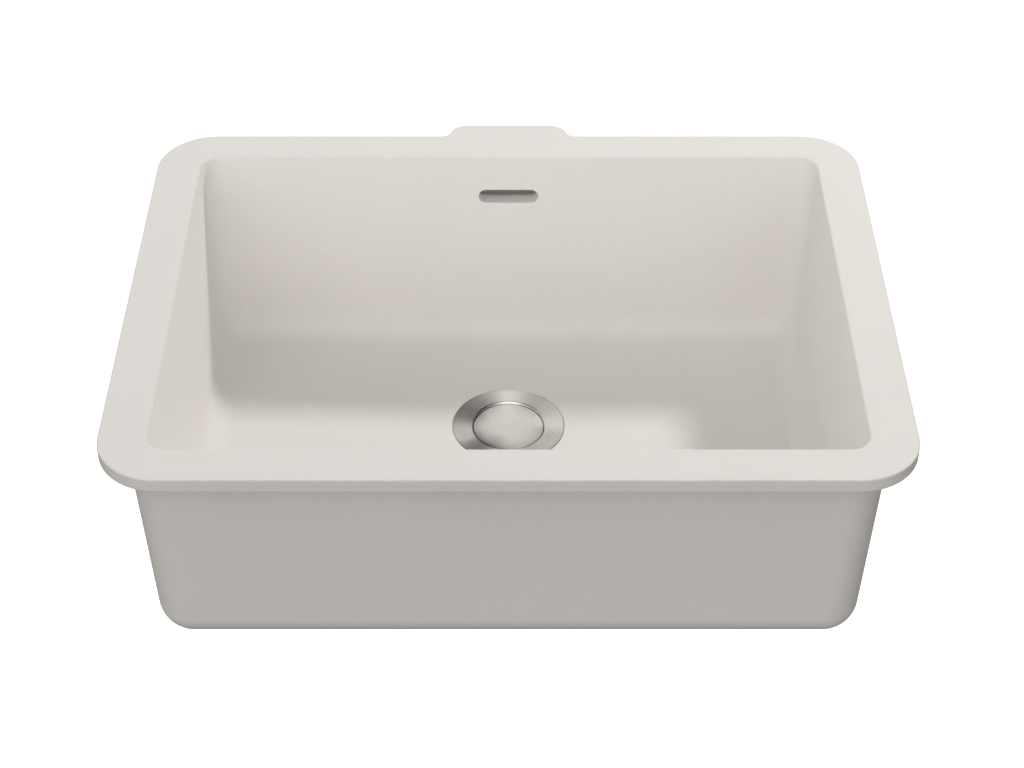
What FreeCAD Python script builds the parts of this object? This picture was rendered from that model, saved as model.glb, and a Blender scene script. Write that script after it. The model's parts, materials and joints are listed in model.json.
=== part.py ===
import FreeCAD, Part
import math
import os

V = FreeCAD.Vector
os.makedirs("parts", exist_ok=True)

# ---------------------------------------------------------------- driving dimensions (mm)
# Frame: origin at the centre of the bowl's mouth, in the plane of the flange's top face.
# +X to the right, +Y to the back wall, +Z up.

FLANGE_W = 700.0          # flange, left to right
FLANGE_D = 525.0          # flange, front to back, without the tab
FLANGE_R = 56.0           # flange corner radius
FLANGE_T = 13.5           # flange thickness
FLANGE_TOP_EDGE_R = 1.6   # rounding of the flange's top outer edge
FLANGE_LOW_EDGE_R = 1.2

TAB_DEPTH = 20.0          # tab on the back edge, over the overflow
TAB_TOP_HALF = 42.0       # half width of its straight edge
TAB_CONVEX_R = 18.0
TAB_CONCAVE_R = 9.0

DRAFT = 2.4               # degrees, inner and outer walls
TOTAL_H = 228.0           # flange top to underside of the bowl
OUTER_HX = 325.9          # bowl outer half sizes at the flange's underside
OUTER_HY = 238.4
OUTER_R = 33.4
OUTER_BOTTOM_R = 32.0
COVE_R = 2.0              # where the bowl meets the flange's underside

INNER_HX = 308.0          # bowl inner half sizes at the mouth plane
INNER_HY = 222.0
INNER_R_TOP = 18.0        # inner corner radius at the mouth
INNER_R_LOW = 30.0        # and at the floor
INNER_BOTTOM_R = 24.0
MOUTH_EDGE_R = 2.5
FLOOR_Z = -214.5          # floor level at the drain seat's edge
FLOOR_FALL = 1.0          # degrees of fall towards the drain

SLOT_W = 60.0             # overflow slot
SLOT_H = 15.0
SLOT_Z = -46.0
SLOT_EDGE_R = 1.3
POCKET_Y = 234.0          # face of the recess behind the slot
POCKET_HX = 47.0
POCKET_HZ = 29.0
POCKET_R = 10.0

DRAIN_Y = 60.0            # drain axis
SEAT_R = 56.4             # recess that the drain flange sits in
SEAT_DEPTH = 3.6
DRAIN_HOLE_R = 45.0       # 90 mm hole

CUP_FLANGE_R = 56.0       # drain flange outer radius
LIP_R = 35.8              # inner radius of the cup's mouth
CUP_R = 34.0              # inner radius below the seal seat
CUP_SHEET = 1.2
CAP_R = 35.3              # plug cap
CAP_DROP = 1.6            # cap top below the lip
STROKE = 9.0              # push-open travel

OUTLET_R = 23.9           # threaded outlet, 47.8 mm over the threads
OUTLET_BORE_R = 20.5
OUTLET_LEN = 32.0

PIPE_R = 11.0             # overflow pipe, 22 mm outside
PIPE_BORE_R = 9.4
SOCKET_R = 14.0           # threaded spigots that take the pipe
PIPE_Y = 257.0            # axis of the vertical pipe
INLET_Z = FLOOR_Z - 45.0  # axis of the horizontal pipe
ELBOW_LEG = 32.0          # axis to end of each elbow leg

T = math.tan(math.radians(DRAFT))


# ---------------------------------------------------------------- helpers
def save(name, shape):
    shape = Part.Compound(shape) if isinstance(shape, list) else shape
    solids = shape.Solids
    if len(solids) == 1:
        shape = solids[0]
    else:
        shape = Part.Compound(solids)
    ok = shape.isValid()
    print("%-22s solids %2d  volume %10.0f mm3  valid %s" % (name, len(solids), shape.Volume, ok))
    shape.exportStep("parts/%s.step" % name)
    return shape


def rrect(hx, hy, r, z, cx=0.0, cy=0.0):
    """Rounded rectangle wire in a horizontal plane, always starting at the same place."""
    s = math.sqrt(0.5)
    e = []
    corners = [(1, -1), (1, 1), (-1, 1), (-1, -1)]
    pts = []
    for sx, sy in corners:
        c = (cx + sx * (hx - r), cy + sy * (hy - r))
        a = V(c[0] + (0 if sx * sy < 0 else sx * r), c[1] + (sy * r if sx * sy < 0 else 0), z)
        b = V(c[0] + (sx * r if sx * sy < 0 else 0), c[1] + (0 if sx * sy < 0 else sy * r), z)
        m = V(c[0] + sx * r * s, c[1] + sy * r * s, z)
        pts.append((a, m, b))
    for i in range(4):
        a, m, b = pts[i]
        e.append(Part.Arc(a, m, b).toShape())
        e.append(Part.LineSegment(b, pts[(i + 1) % 4][0]).toShape())
    return Part.Wire(e)


def revolve(points, cy=DRAIN_Y, cx=0.0):
    """Closed (r, z) profile turned about the vertical axis through (cx, cy).
    A point may be a third-element tuple (r, z, 'arc') marking the middle of an arc."""
    edges = []
    n = len(points)
    i = 0
    pts = [V(cx + p[0], cy, p[1]) for p in points]
    while i < n:
        j = (i + 1) % n
        if len(points[j]) > 2:
            k = (i + 2) % n
            edges.append(Part.Arc(pts[i], pts[j], pts[k]).toShape())
            i += 2
        else:
            edges.append(Part.LineSegment(pts[i], pts[j]).toShape())
            i += 1
    face = Part.Face(Part.Wire(edges))
    return face.revolve(V(cx, cy, 0), V(0, 0, 1), 360)


def cyl(r, z0, z1, x=0.0, y=DRAIN_Y):
    return Part.makeCylinder(r, abs(z1 - z0), V(x, y, min(z0, z1)))


def tube(ro, ri, z0, z1, x=0.0, y=DRAIN_Y):
    return cyl(ro, z0, z1, x, y).cut(cyl(ri, min(z0, z1) - 1, max(z0, z1) + 1, x, y))


def cyl_y(r, y0, y1, x, z):
    return Part.makeCylinder(r, abs(y1 - y0), V(x, min(y0, y1), z), V(0, 1, 0))


def stadium_y(w, h, y0, y1, z, x=0.0):
    """Stadium-shaped prism along Y."""
    r = h / 2.0
    a = w / 2.0 - r
    e = [
        Part.LineSegment(V(x - a, y0, z - r), V(x + a, y0, z - r)).toShape(),
        Part.Arc(V(x + a, y0, z - r), V(x + a + r, y0, z), V(x + a, y0, z + r)).toShape(),
        Part.LineSegment(V(x + a, y0, z + r), V(x - a, y0, z + r)).toShape(),
        Part.Arc(V(x - a, y0, z + r), V(x - a - r, y0, z), V(x - a, y0, z - r)).toShape(),
    ]
    return Part.Face(Part.Wire(e)).extrude(V(0, y1 - y0, 0))


def rbox_y(hx, hz, r, y0, y1, z, x=0.0):
    """Rounded rectangle in the XZ plane, extruded along Y."""
    w = rrect(hx, hz, r, 0.0)
    f = Part.Face(w)
    f.rotate(V(0, 0, 0), V(1, 0, 0), 90)
    f.translate(V(x, y0, z))
    return f.extrude(V(0, y1 - y0, 0))


def fillet_where(shape, r, test):
    edges = [e for e in shape.Edges if test(e)]
    if not edges:
        raise RuntimeError("no edge to round")
    return shape.makeFillet(r, edges)


def try_fillet(shape, r, test, what):
    try:
        out = fillet_where(shape, r, test)
        if out.isValid() and len(out.Solids) == 1:
            return out
        print("rounding left out (not valid):", what)
    except Exception as err:
        print("rounding left out:", what, err)
    return shape


# ---------------------------------------------------------------- sink bowl
def flange_outline(z):
    hx, hy, r = FLANGE_W / 2, FLANGE_D / 2, FLANGE_R
    s = math.sqrt(0.5)
    rs = TAB_CONVEX_R + TAB_CONCAVE_R
    phi = math.acos(1 - TAB_DEPTH / rs)
    xt = TAB_TOP_HALF
    xb = xt + rs * math.sin(phi)
    yj = hy + TAB_CONCAVE_R * (1 - math.cos(phi))
    xj = xb - TAB_CONCAVE_R * math.sin(phi)

    def concave(t):
        return (xb - TAB_CONCAVE_R * math.sin(t), hy + TAB_CONCAVE_R * (1 - math.cos(t)))

    def convex(t):
        return (xt + TAB_CONVEX_R * math.sin(t), hy + TAB_DEPTH - TAB_CONVEX_R * (1 - math.cos(t)))

    def seg(a, b):
        return Part.LineSegment(V(a[0], a[1], z), V(b[0], b[1], z)).toShape()

    def arc(a, m, b):
        return Part.Arc(V(a[0], a[1], z), V(m[0], m[1], z), V(b[0], b[1], z)).toShape()

    e = []
    e.append(seg((-hx + r, -hy), (hx - r, -hy)))
    e.append(arc((hx - r, -hy), (hx - r + r * s, -hy + r - r * s), (hx, -hy + r)))
    e.append(seg((hx, -hy + r), (hx, hy - r)))
    e.append(arc((hx, hy - r), (hx - r + r * s, hy - r + r * s), (hx - r, hy)))
    e.append(seg((hx - r, hy), (xb, hy)))
    e.append(arc((xb, hy), concave(phi / 2), (xj, yj)))
    e.append(arc((xj, yj), convex(phi / 2), (xt, hy + TAB_DEPTH)))
    e.append(seg((xt, hy + TAB_DEPTH), (-xt, hy + TAB_DEPTH)))
    m = convex(phi / 2)
    e.append(arc((-xt, hy + TAB_DEPTH), (-m[0], m[1]), (-xj, yj)))
    m = concave(phi / 2)
    e.append(arc((-xj, yj), (-m[0], m[1]), (-xb, hy)))
    e.append(seg((-xb, hy), (-hx + r, hy)))
    e.append(arc((-hx + r, hy), (-hx + r - r * s, hy - r + r * s), (-hx, hy - r)))
    e.append(seg((-hx, hy - r), (-hx, -hy + r)))
    e.append(arc((-hx, -hy + r), (-hx + r - r * s, -hy + r - r * s), (-hx + r, -hy)))
    return Part.Wire(e)


def make_bowl():
    # flange slab with its tab
    slab = Part.Face(flange_outline(-FLANGE_T)).extrude(V(0, 0, FLANGE_T))
    slab = try_fillet(slab, FLANGE_TOP_EDGE_R,
                      lambda e: abs(e.BoundBox.ZMin) < 1e-6 and abs(e.BoundBox.ZMax) < 1e-6,
                      "flange top edge")
    slab = try_fillet(slab, FLANGE_LOW_EDGE_R,
                      lambda e: abs(e.BoundBox.ZMin + FLANGE_T) < 1e-6 and abs(e.BoundBox.ZMax + FLANGE_T) < 1e-6,
                      "flange low edge")

    # outer bowl
    def outer(z):
        d = (z + FLANGE_T) * T
        return rrect(OUTER_HX + d, OUTER_HY + d, OUTER_R, z)

    tub = Part.makeLoft([outer(-6.0), outer(-TOTAL_H)], True, True)
    tub = try_fillet(tub, OUTER_BOTTOM_R,
                     lambda e: abs(e.BoundBox.ZMin + TOTAL_H) < 1e-3 and abs(e.BoundBox.ZMax + TOTAL_H) < 1e-3,
                     "bowl outer bottom")
    body = slab.fuse(tub).removeSplitter()

    def at_cove(e):
        b = e.BoundBox
        return (abs(b.ZMin + FLANGE_T) < 1e-3 and abs(b.ZMax + FLANGE_T) < 1e-3
                and max(abs(b.XMin), abs(b.XMax)) < OUTER_HX + 1
                and max(abs(b.YMin), abs(b.YMax)) < OUTER_HY + 1)
    body = try_fillet(body, COVE_R, at_cove, "cove under the flange")

    # inner space: drafted walls, corner radius growing downwards, floor falling to the drain
    def inner(z):
        d = z * T
        k = min(1.0, max(0.0, -z / -FLOOR_Z))
        return rrect(INNER_HX + d, INNER_HY + d, INNER_R_TOP + (INNER_R_LOW - INNER_R_TOP) * k, z)

    low = FLOOR_Z - 8.0
    kk = INNER_R_TOP + (INNER_R_LOW - INNER_R_TOP) * (low / FLOOR_Z)
    w_low = rrect(INNER_HX + low * T, INNER_HY + low * T, kk, low)
    kt = INNER_R_TOP - (INNER_R_LOW - INNER_R_TOP) * (10.0 / -FLOOR_Z)
    w_top = rrect(INNER_HX + 10.0 * T, INNER_HY + 10.0 * T, kt, 10.0)
    well = Part.makeLoft([w_low, w_top], True, True)
    fall = math.tan(math.radians(FLOOR_FALL))
    z0 = FLOOR_Z - SEAT_R * fall
    above = revolve([(0, z0), (520, z0 + 520 * fall), (520, 60), (0, 60)])
    well = well.common(above)

    def at_floor(e):
        b = e.BoundBox
        return b.ZMax < FLOOR_Z + 12 and b.ZMin < FLOOR_Z + 12 and b.ZMax - b.ZMin < 9 and e.Length > 5
    well = try_fillet(well, INNER_BOTTOM_R, at_floor, "bowl inner bottom")
    body = body.cut(well)

    def at_mouth(e):
        b = e.BoundBox
        return (abs(b.ZMin) < 1e-3 and abs(b.ZMax) < 1e-3
                and max(abs(b.XMin), abs(b.XMax)) < INNER_HX + 1
                and max(abs(b.YMin), abs(b.YMax)) < INNER_HY + 1)
    body = try_fillet(body, MOUTH_EDGE_R, at_mouth, "mouth edge")

    # recess behind the overflow slot, then the slot
    body = body.cut(rbox_y(POCKET_HX, POCKET_HZ, POCKET_R, POCKET_Y, POCKET_Y + 20, SLOT_Z))
    body = body.cut(stadium_y(SLOT_W, SLOT_H, 205.0, POCKET_Y + 1.0, SLOT_Z))

    def at_slot(e):
        b = e.BoundBox
        return (b.YMax < 222 and b.YMin > 217 and abs(b.XMin) < SLOT_W / 2 + 1 and abs(b.XMax) < SLOT_W / 2 + 1
                and b.ZMin > SLOT_Z - SLOT_H and b.ZMax < SLOT_Z + SLOT_H and b.YMax - b.YMin < 1.2)
    body = try_fillet(body, SLOT_EDGE_R, at_slot, "slot edge")

    # holes for the threaded inserts
    for x, z in INSERTS:
        body = body.cut(cyl_y(INSERT_R, POCKET_Y - INSERT_LEN, POCKET_Y + 1, x, z))

    # drain seat and hole
    body = body.cut(cyl(SEAT_R, FLOOR_Z - SEAT_DEPTH, FLOOR_Z + 6))
    body = body.cut(cyl(DRAIN_HOLE_R, -TOTAL_H - 5, FLOOR_Z + 6))
    return body


INSERTS = [(-39.0, SLOT_Z + 19.0), (39.0, SLOT_Z + 19.0), (-39.0, SLOT_Z - 19.0), (39.0, SLOT_Z - 19.0)]
INSERT_R = 3.2
INSERT_LEN = 7.5

# ---------------------------------------------------------------- overflow parts
GASKET_T = 2.0
PLATE_T = 4.0
PLATE_HX = 44.0
PLATE_HZ = 26.0
PLATE_Y0 = POCKET_Y + GASKET_T
PLATE_Y1 = PLATE_Y0 + PLATE_T
HOUSING_WALL = 2.4
SPIGOT_END_Z = -112.0
SOCKET_DEPTH = 12.0
FIT = 0.05                # radial clearance of pieces that sit in each other


def make_inserts():
    out = []
    for x, z in INSERTS:
        a = cyl_y(INSERT_R - FIT, POCKET_Y - INSERT_LEN + 0.1, POCKET_Y, x, z)
        out.append(a.cut(cyl_y(1.9, POCKET_Y - 20, POCKET_Y + 1, x, z)))
    return out


def make_overflow_gasket():
    g = rbox_y(PLATE_HX, PLATE_HZ, 8.0, POCKET_Y, PLATE_Y0, SLOT_Z)
    g = g.cut(stadium_y(SLOT_W + 4, SLOT_H + 4, POCKET_Y - 1, PLATE_Y0 + 1, SLOT_Z))
    for x, z in INSERTS:
        g = g.cut(cyl_y(2.3, POCKET_Y - 1, PLATE_Y0 + 1, x, z))
    return g


def make_overflow_housing():
    w = HOUSING_WALL
    top, mid, low = SLOT_Z + 14.5, SLOT_Z - 16.0, -92.0
    y0, y1 = PLATE_Y0 + 1.0, 273.0
    cy, hy = (y0 + y1) / 2, (y1 - y0) / 2
    plate = rbox_y(PLATE_HX, PLATE_HZ, 8.0, PLATE_Y0, PLATE_Y1, SLOT_Z)
    box = Part.Face(rrect(34.0, hy, 7.0, mid, 0, cy)).extrude(V(0, 0, top - mid))
    box = try_fillet(box, 5.0,
                     lambda e: abs(e.BoundBox.ZMin - top) < 1e-6 and abs(e.BoundBox.ZMax - top) < 1e-6,
                     "housing top")
    funnel = Part.makeLoft([rrect(15.5, 15.5, 11.0, low, 0, PIPE_Y), rrect(34.0, hy, 7.0, mid, 0, cy)], True, True)
    collar = cyl(17.0, low + 1.0, low - 5.0, 0, PIPE_Y)
    spigot = cyl(SOCKET_R, low, SPIGOT_END_Z, 0, PIPE_Y)
    outer = plate.fuse([box, funnel, collar, spigot]).removeSplitter()
    # stay clear of the bowl below its recess
    outer = outer.cut(Part.makeBox(200, 60, 60, V(-100, PLATE_Y0 - 60, SLOT_Z - POCKET_HZ - 58)))

    iy0, iy1 = PLATE_Y1, y1 - w
    icy, ihy = (iy0 + iy1) / 2, (iy1 - iy0) / 2
    ibox = Part.Face(rrect(34.0 - w, ihy, 5.0, mid, 0, icy)).extrude(V(0, 0, top - w - mid))
    fy0 = iy0 + 1.4
    ifunnel = Part.makeLoft([rrect(10.0, 10.0, 7.0, low - 0.5, 0, PIPE_Y),
                             rrect(34.0 - w, (iy1 - fy0) / 2, 5.0, mid, 0, (iy1 + fy0) / 2)], True, True)
    bore = cyl(PIPE_BORE_R, low + 2.0, SPIGOT_END_Z - 1, 0, PIPE_Y)
    socket = cyl(PIPE_R + FIT, SPIGOT_END_Z + SOCKET_DEPTH, SPIGOT_END_Z - 1, 0, PIPE_Y)
    window = stadium_y(SLOT_W + 4, SLOT_H + 4, PLATE_Y0 - 1, PLATE_Y1 + 1, SLOT_Z)
    out = outer.cut([ibox, ifunnel, bore, socket, window])
    for x, z in INSERTS:
        out = out.cut(cyl_y(2.2, PLATE_Y0 - 1, PLATE_Y1 + 1, x, z))
    # stiffening ribs on the shoulders
    for x in (-24.0, 24.0):
        rib = Part.Face(Part.makePolygon([V(x - 1.2, y1 - 0.5, mid + 4), V(x - 1.2, y1 + 3.0, mid + 4),
                                          V(x - 1.2, y1 + 3.0, top - 8), V(x - 1.2, y1 - 0.5, top - 4),
                                          V(x - 1.2, y1 - 0.5, mid + 4)])).extrude(V(2.4, 0, 0))
        out = out.fuse(rib)
    return out.removeSplitter()


def make_overflow_screws():
    out = []
    for x, z in INSERTS:
        head = cyl_y(3.7, PLATE_Y1, PLATE_Y1 + 2.6, x, z)
        head = try_fillet(head, 1.2, lambda e: e.BoundBox.YMin > PLATE_Y1 + 2.5, "screw head")
        shank = cyl_y(1.85, PLATE_Y1 - 11.4, PLATE_Y1 + 0.5, x, z)
        s = head.fuse(shank).removeSplitter()
        for a in (0, 90):
            slot = Part.makeBox(0.9, 2.0, 3.6, V(x - 0.45, PLATE_Y1 + 1.2, z - 1.8))
            slot.rotate(V(x, PLATE_Y1, z), V(0, 1, 0), a)
            s = s.cut(slot)
        out.append(s)
    return out


def make_elbow():
    zc, yc, R = INLET_Z, PIPE_Y, 16.0
    ztop, yend = zc + ELBOW_LEG, yc - ELBOW_LEG

    def bend(r):
        f = Part.Face(Part.Wire([Part.Circle(V(0, yc, zc + R), V(0, 0, 1), r).toShape()]))
        return f.revolve(V(0, yc - R, zc + R), V(1, 0, 0), -90)

    body = cyl(SOCKET_R, ztop, zc + R, 0, yc).fuse([bend(SOCKET_R), cyl_y(SOCKET_R, yend, yc - R, 0, zc)])
    # shoulders behind the threads
    body = body.fuse([cyl(SOCKET_R + 1.6, zc + R, zc + R + 3.0, 0, yc), cyl_y(SOCKET_R + 1.6, yc - R - 3.0, yc - R, 0, zc)])
    body = body.cut([bend(PIPE_BORE_R), cyl(PIPE_BORE_R, ztop + 1, zc + R, 0, yc), cyl_y(PIPE_BORE_R, yend - 1, yc - R, 0, zc),
                     cyl(PIPE_R + FIT, ztop + 1, ztop - SOCKET_DEPTH, 0, yc),
                     cyl_y(PIPE_R + FIT, yend - 1, yend + SOCKET_DEPTH, 0, zc)])
    return body.removeSplitter()


NUT_R = 19.0
NUT_GRIP = 11.5           # length over the thread
SEAL_T = 4.0
NUT_WALL = 3.0


def place(shape, origin, direction):
    """Shape made along +Z from the origin, moved so that +Z becomes the direction."""
    s = shape.copy()
    s.Placement = FreeCAD.Placement(V(*origin), FreeCAD.Rotation(V(0, 0, 1), V(*direction)))
    return s


# end plane of each spigot, and the way the pipe leaves it
JOINTS = [((0, PIPE_Y, SPIGOT_END_Z), (0, 0, -1)),
          ((0, PIPE_Y, INLET_Z + ELBOW_LEG), (0, 0, 1)),
          ((0, PIPE_Y - ELBOW_LEG, INLET_Z), (0, -1, 0)),
          ((0, DRAIN_Y + 72.0, INLET_Z), (0, 1, 0))]


def make_nuts():
    z0, z1, z2 = -NUT_GRIP, SEAL_T, SEAL_T + NUT_WALL
    n = revolve([(SOCKET_R + 0.15, z0), (NUT_R, z0), (NUT_R, z1 - 1.0), (NUT_R - 3.2, z2), (PIPE_R + 0.25, z2),
                 (PIPE_R + 0.25, z1), (SOCKET_R + 0.15, z1)], 0.0)
    for i in range(16):
        a = math.radians(i * 22.5)
        n = n.cut(Part.makeCylinder(1.5, z1 - z0 - 3.0, V((NUT_R + 0.55) * math.cos(a), (NUT_R + 0.55) * math.sin(a), z0 + 2.0)))
    return [place(n, o, d) for o, d in JOINTS]


def make_pipe_seals():
    s = revolve([(PIPE_R + FIT, 0.0), (SOCKET_R - 0.3, 0.0), (SOCKET_R, 0.8), (SOCKET_R, SEAL_T - 0.6), (SOCKET_R - 0.5, SEAL_T),
                 (PIPE_R + FIT, SEAL_T)], 0.0)
    return [place(s, o, d) for o, d in JOINTS]


# ---------------------------------------------------------------- waste and strainer
def zr(z):
    return FLOOR_Z + z


def prof(points):
    return revolve([(p[0], zr(p[1])) + tuple(p[2:]) for p in points])


LIP_Z = -0.4              # where the flange's top turns down into the mouth
LIP_ROUND = 3.0
CAP_Z = LIP_Z - CAP_DROP


def make_strainer_cup():
    k = math.sqrt(0.5)
    re = LIP_R + LIP_ROUND
    c = prof([(CUP_FLANGE_R, -2.4), (CUP_FLANGE_R, -0.55), (CUP_FLANGE_R - 0.234, 0.016, "arc"), (CUP_FLANGE_R - 0.8, 0.25), (54.4, 0.25),
              (re, LIP_Z), (re - LIP_ROUND * k, LIP_Z - LIP_ROUND * (1 - k), "arc"), (LIP_R, LIP_Z - LIP_ROUND),
              (LIP_R, -11.4), (CUP_R, -13.2), (CUP_R, -52.0),
              (32.243, -56.243, "arc"), (28.0, -58.0), (7.2, -58.0), (7.2, -59.2), (28.0, -59.2),
              (33.091, -57.091, "arc"), (CUP_R + CUP_SHEET, -52.0), (CUP_R + CUP_SHEET, -13.7), (LIP_R + CUP_SHEET, -11.9),
              (LIP_R + CUP_SHEET, -3.4), (37.293, -2.693, "arc"), (38.0, -2.4)])
    for i in range(8):
        a = math.radians(22.5 + 45 * i)
        c = c.cut(cyl(5.2, zr(-61), zr(-55), 20.5 * math.cos(a), DRAIN_Y + 20.5 * math.sin(a)))
    return c


def make_cup_gasket():
    return tube(55.6, 46.8, zr(-3.6), zr(-2.4))


def make_body_gasket():
    return tube(55.0, 45.6, zr(-16.5), -TOTAL_H)


TAIL_TOP = -86.0
TAIL_END = TAIL_TOP - OUTLET_LEN
SEAM = -61.0              # weld between body ring and tail
BODY_OUTER = [(56.0, -16.5), (56.0, -20.6), (55.4, -21.2), (47.6, -22.4), (46.0, -24.2), (46.0, -62.0), (30.0, -80.0),
              (25.0, -84.4), (OUTLET_R, TAIL_TOP), (OUTLET_R, TAIL_END + 1.0), (OUTLET_R - 1.0, TAIL_END)]


def waste_space(top=-10.0, low=TAIL_END - 1):
    """The space inside ring and tail."""
    return prof([(0.0, top), (43.0, top), (43.0, -60.6), (27.2, -78.6), (OUTLET_BORE_R, -85.0), (OUTLET_BORE_R, low), (0.0, low)])


def waste_shell():
    return prof([(43.0, -16.5)] + BODY_OUTER + [(OUTLET_BORE_R, TAIL_END), (OUTLET_BORE_R, -85.0), (27.2, -78.6), (43.0, -60.6)])


def make_waste_body():
    ring = waste_shell().common(cyl(80.0, zr(-10.0), zr(SEAM)))
    # gussets under the clamping flange
    gussets = []
    for i in range(12):
        g = Part.Face(Part.makePolygon([V(45.0, -1.2, zr(-20.8)), V(54.6, -1.2, zr(-20.8)), V(54.6, -1.2, zr(-22.4)), V(45.0, -1.2, zr(-38.0)),
                                        V(45.0, -1.2, zr(-20.8))])).extrude(V(0, 2.4, 0))
        g.rotate(V(0, 0, 0), V(0, 0, 1), 15.0 + 30.0 * i)
        g.translate(V(0, DRAIN_Y, 0))
        gussets.append(g)
    gussets = [g.cut(cyl_y(16.0, DRAIN_Y + 40.0, DRAIN_Y + 60.0, 0, INLET_Z)) for g in gussets]
    ring = ring.fuse(gussets).removeSplitter()
    return ring.cut(cyl_y(PIPE_BORE_R, DRAIN_Y + 30.0, DRAIN_Y + 50.0, 0, INLET_Z))


def make_waste_inlet():
    tube_ = cyl_y(SOCKET_R, DRAIN_Y + 40.0, DRAIN_Y + 72.0, 0, INLET_Z)
    collar = Part.makeCone(16.0, 15.6, 10.0, V(0, DRAIN_Y + 43.5, INLET_Z), V(0, 1, 0))
    body = tube_.fuse(collar).cut(cyl(46.0, zr(-10.0), zr(-110.0)))
    return body.cut([cyl_y(PIPE_BORE_R, DRAIN_Y + 30.0, DRAIN_Y + 73.0, 0, INLET_Z),
                     cyl_y(PIPE_R + FIT, DRAIN_Y + 72.0 - SOCKET_DEPTH + 2.0, DRAIN_Y + 73.0, 0, INLET_Z)]).removeSplitter()


def make_waste_tail():
    return waste_shell().common(cyl(80.0, zr(SEAM), zr(TAIL_END - 5.0)))


def make_waste_bridge():
    # carries the clamp screw
    hub = cyl(13.0, zr(-59.25), zr(-76.0))
    inside = waste_space()
    ribs = []
    for i in range(3):
        b = Part.makeBox(44.5, 4.0, 10.0, V(0, -2.0, zr(-72.0)))
        b.rotate(V(0, 0, 0), V(0, 0, 1), 30.0 + 120.0 * i)
        b.translate(V(0, DRAIN_Y, 0))
        ribs.append(b.common(inside))
    bridge = hub.fuse(ribs).removeSplitter().cut(cyl(9.5 + FIT, zr(-58.0), zr(-74.5)))
    return bridge.cut(cyl(7.2, zr(-58.0), zr(-80.0)))


def make_clamp_insert():
    n = cyl(9.5, zr(-59.4), zr(-74.4)).cut(cyl(6.9, zr(-50.0), zr(-80.0)))
    for i in range(12):
        a = math.radians(i * 30)
        n = n.cut(cyl(0.7, zr(-61.0), zr(-72.5), 9.7 * math.cos(a), DRAIN_Y + 9.7 * math.sin(a)))
    return n


def make_clamp_screw():
    s = prof([(0, -54.6), (11.3, -54.6), (12.0, -55.3), (12.0, -58.0), (6.85, -58.0), (6.85, -77.0), (6.1, -78.0), (0, -78.0)])
    s = s.cut(cyl(4.1, zr(-50.0), zr(-66.0)))
    for a in (0, 90):
        slot = Part.makeBox(26.0, 3.0, 2.0, V(-13.0, -1.5, zr(-56.2)))
        slot.rotate(V(0, 0, 0), V(0, 0, 1), a + 45)
        slot.translate(V(0, DRAIN_Y, 0))
        s = s.cut(slot)
    return s


def make_click_housing():
    h = prof([(4.0, -64.0), (4.0, -54.6), (8.6, -54.6), (9.0, -54.2), (9.0, -38.7), (7.2, -38.7), (7.2, -53.0), (3.0, -53.0),
              (3.0, -62.5), (0, -62.5), (0, -64.0)])
    for i in range(3):
        b = Part.makeBox(4.0, 2.6, 8.0, V(6.5, -1.3, zr(-50.5)))
        b.rotate(V(0, 0, 0), V(0, 0, 1), 90.0 + 120.0 * i)
        b.translate(V(0, DRAIN_Y, 0))
        h = h.cut(b)
    return h


def make_click_cap():
    return prof([(4.08, -38.7), (9.0, -38.7), (9.0, -37.3), (8.6, -36.9), (4.08, -36.9)])


def make_lifter_pin():
    return prof([(3.0, -52.7), (4.0, -52.7), (4.0, -49.4), (6.8, -49.4), (6.8, -48.0), (4.0, -48.0), (4.0, -32.1), (3.4, -31.5),
                 (0, -31.5), (0, -33.2), (3.0, -33.2)])


def make_lifter_spring():
    z0, z1 = zr(-62.2), zr(-33.6)
    wire, mean = 0.35, 2.3
    turns = 11.0
    rise = (z1 - z0) - 2 * wire
    helix = Part.makeHelix(rise / turns, rise, mean)
    helix.translate(V(0, DRAIN_Y, z0 + wire))
    start = helix.Edges[0].valueAt(helix.Edges[0].FirstParameter)
    tangent = helix.Edges[0].tangentAt(helix.Edges[0].FirstParameter)
    ring = Part.Wire([Part.Circle(start, tangent, wire).toShape()])
    return Part.Wire(helix.Edges).makePipeShell([ring], True, True)


def make_cam_rotor():
    c = tube(6.8, 4.08, zr(-52.6), zr(-49.7))
    for i in range(8):
        b = Part.makeBox(3.4, 1.1, 1.2, V(4.6, -0.55, zr(-50.7)))
        b.rotate(V(0, 0, 0), V(0, 0, 1), 45.0 * i)
        b.translate(V(0, DRAIN_Y, 0))
        c = c.cut(b)
    return c


def make_plug_cap():
    # shallow pan with a threaded boss under it
    t = CAP_Z
    return prof([(0, t), (CAP_R - 0.7, t), (CAP_R - 0.205, t - 0.205, "arc"), (CAP_R, t - 0.7), (CAP_R, -8.6), (CAP_R - 1.0, -8.6),
                 (CAP_R - 1.0, t - 1.9), (CAP_R - 1.7, t - 1.2), (6.0, t - 1.2), (6.0, -11.0), (3.05, -11.0), (3.05, -8.0), (0, -8.0)])


def make_seal_carrier():
    t = -7.2
    return prof([(6.1, t), (33.6, t), (34.2, t - 0.6), (34.2, -9.4), (30.5, -9.4), (30.5, -12.5), (32.0, -12.6), (31.6, -13.6), (9.0, -13.6),
                 (8.2, -13.2), (3.05, -13.2), (3.05, -11.0), (6.1, -11.0)])


def make_plug_seal():
    return prof([(30.6, -9.5), (33.8, -9.5), (35.3, -11.0), (35.0, -11.9), (33.2, -12.2), (30.6, -12.4)])


def make_plug_stem():
    return prof([(0, -8.2), (2.6, -8.2), (2.95, -8.6), (2.95, -13.2), (7.0, -13.2), (7.0, -14.6), (5.0, -16.0), (5.0, -28.0), (8.0, -30.6), (8.0, -32.7),
                 (5.8, -32.7), (5.8, -36.3), (4.3, -36.3), (4.3, -31.2), (0, -31.2)])


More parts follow.
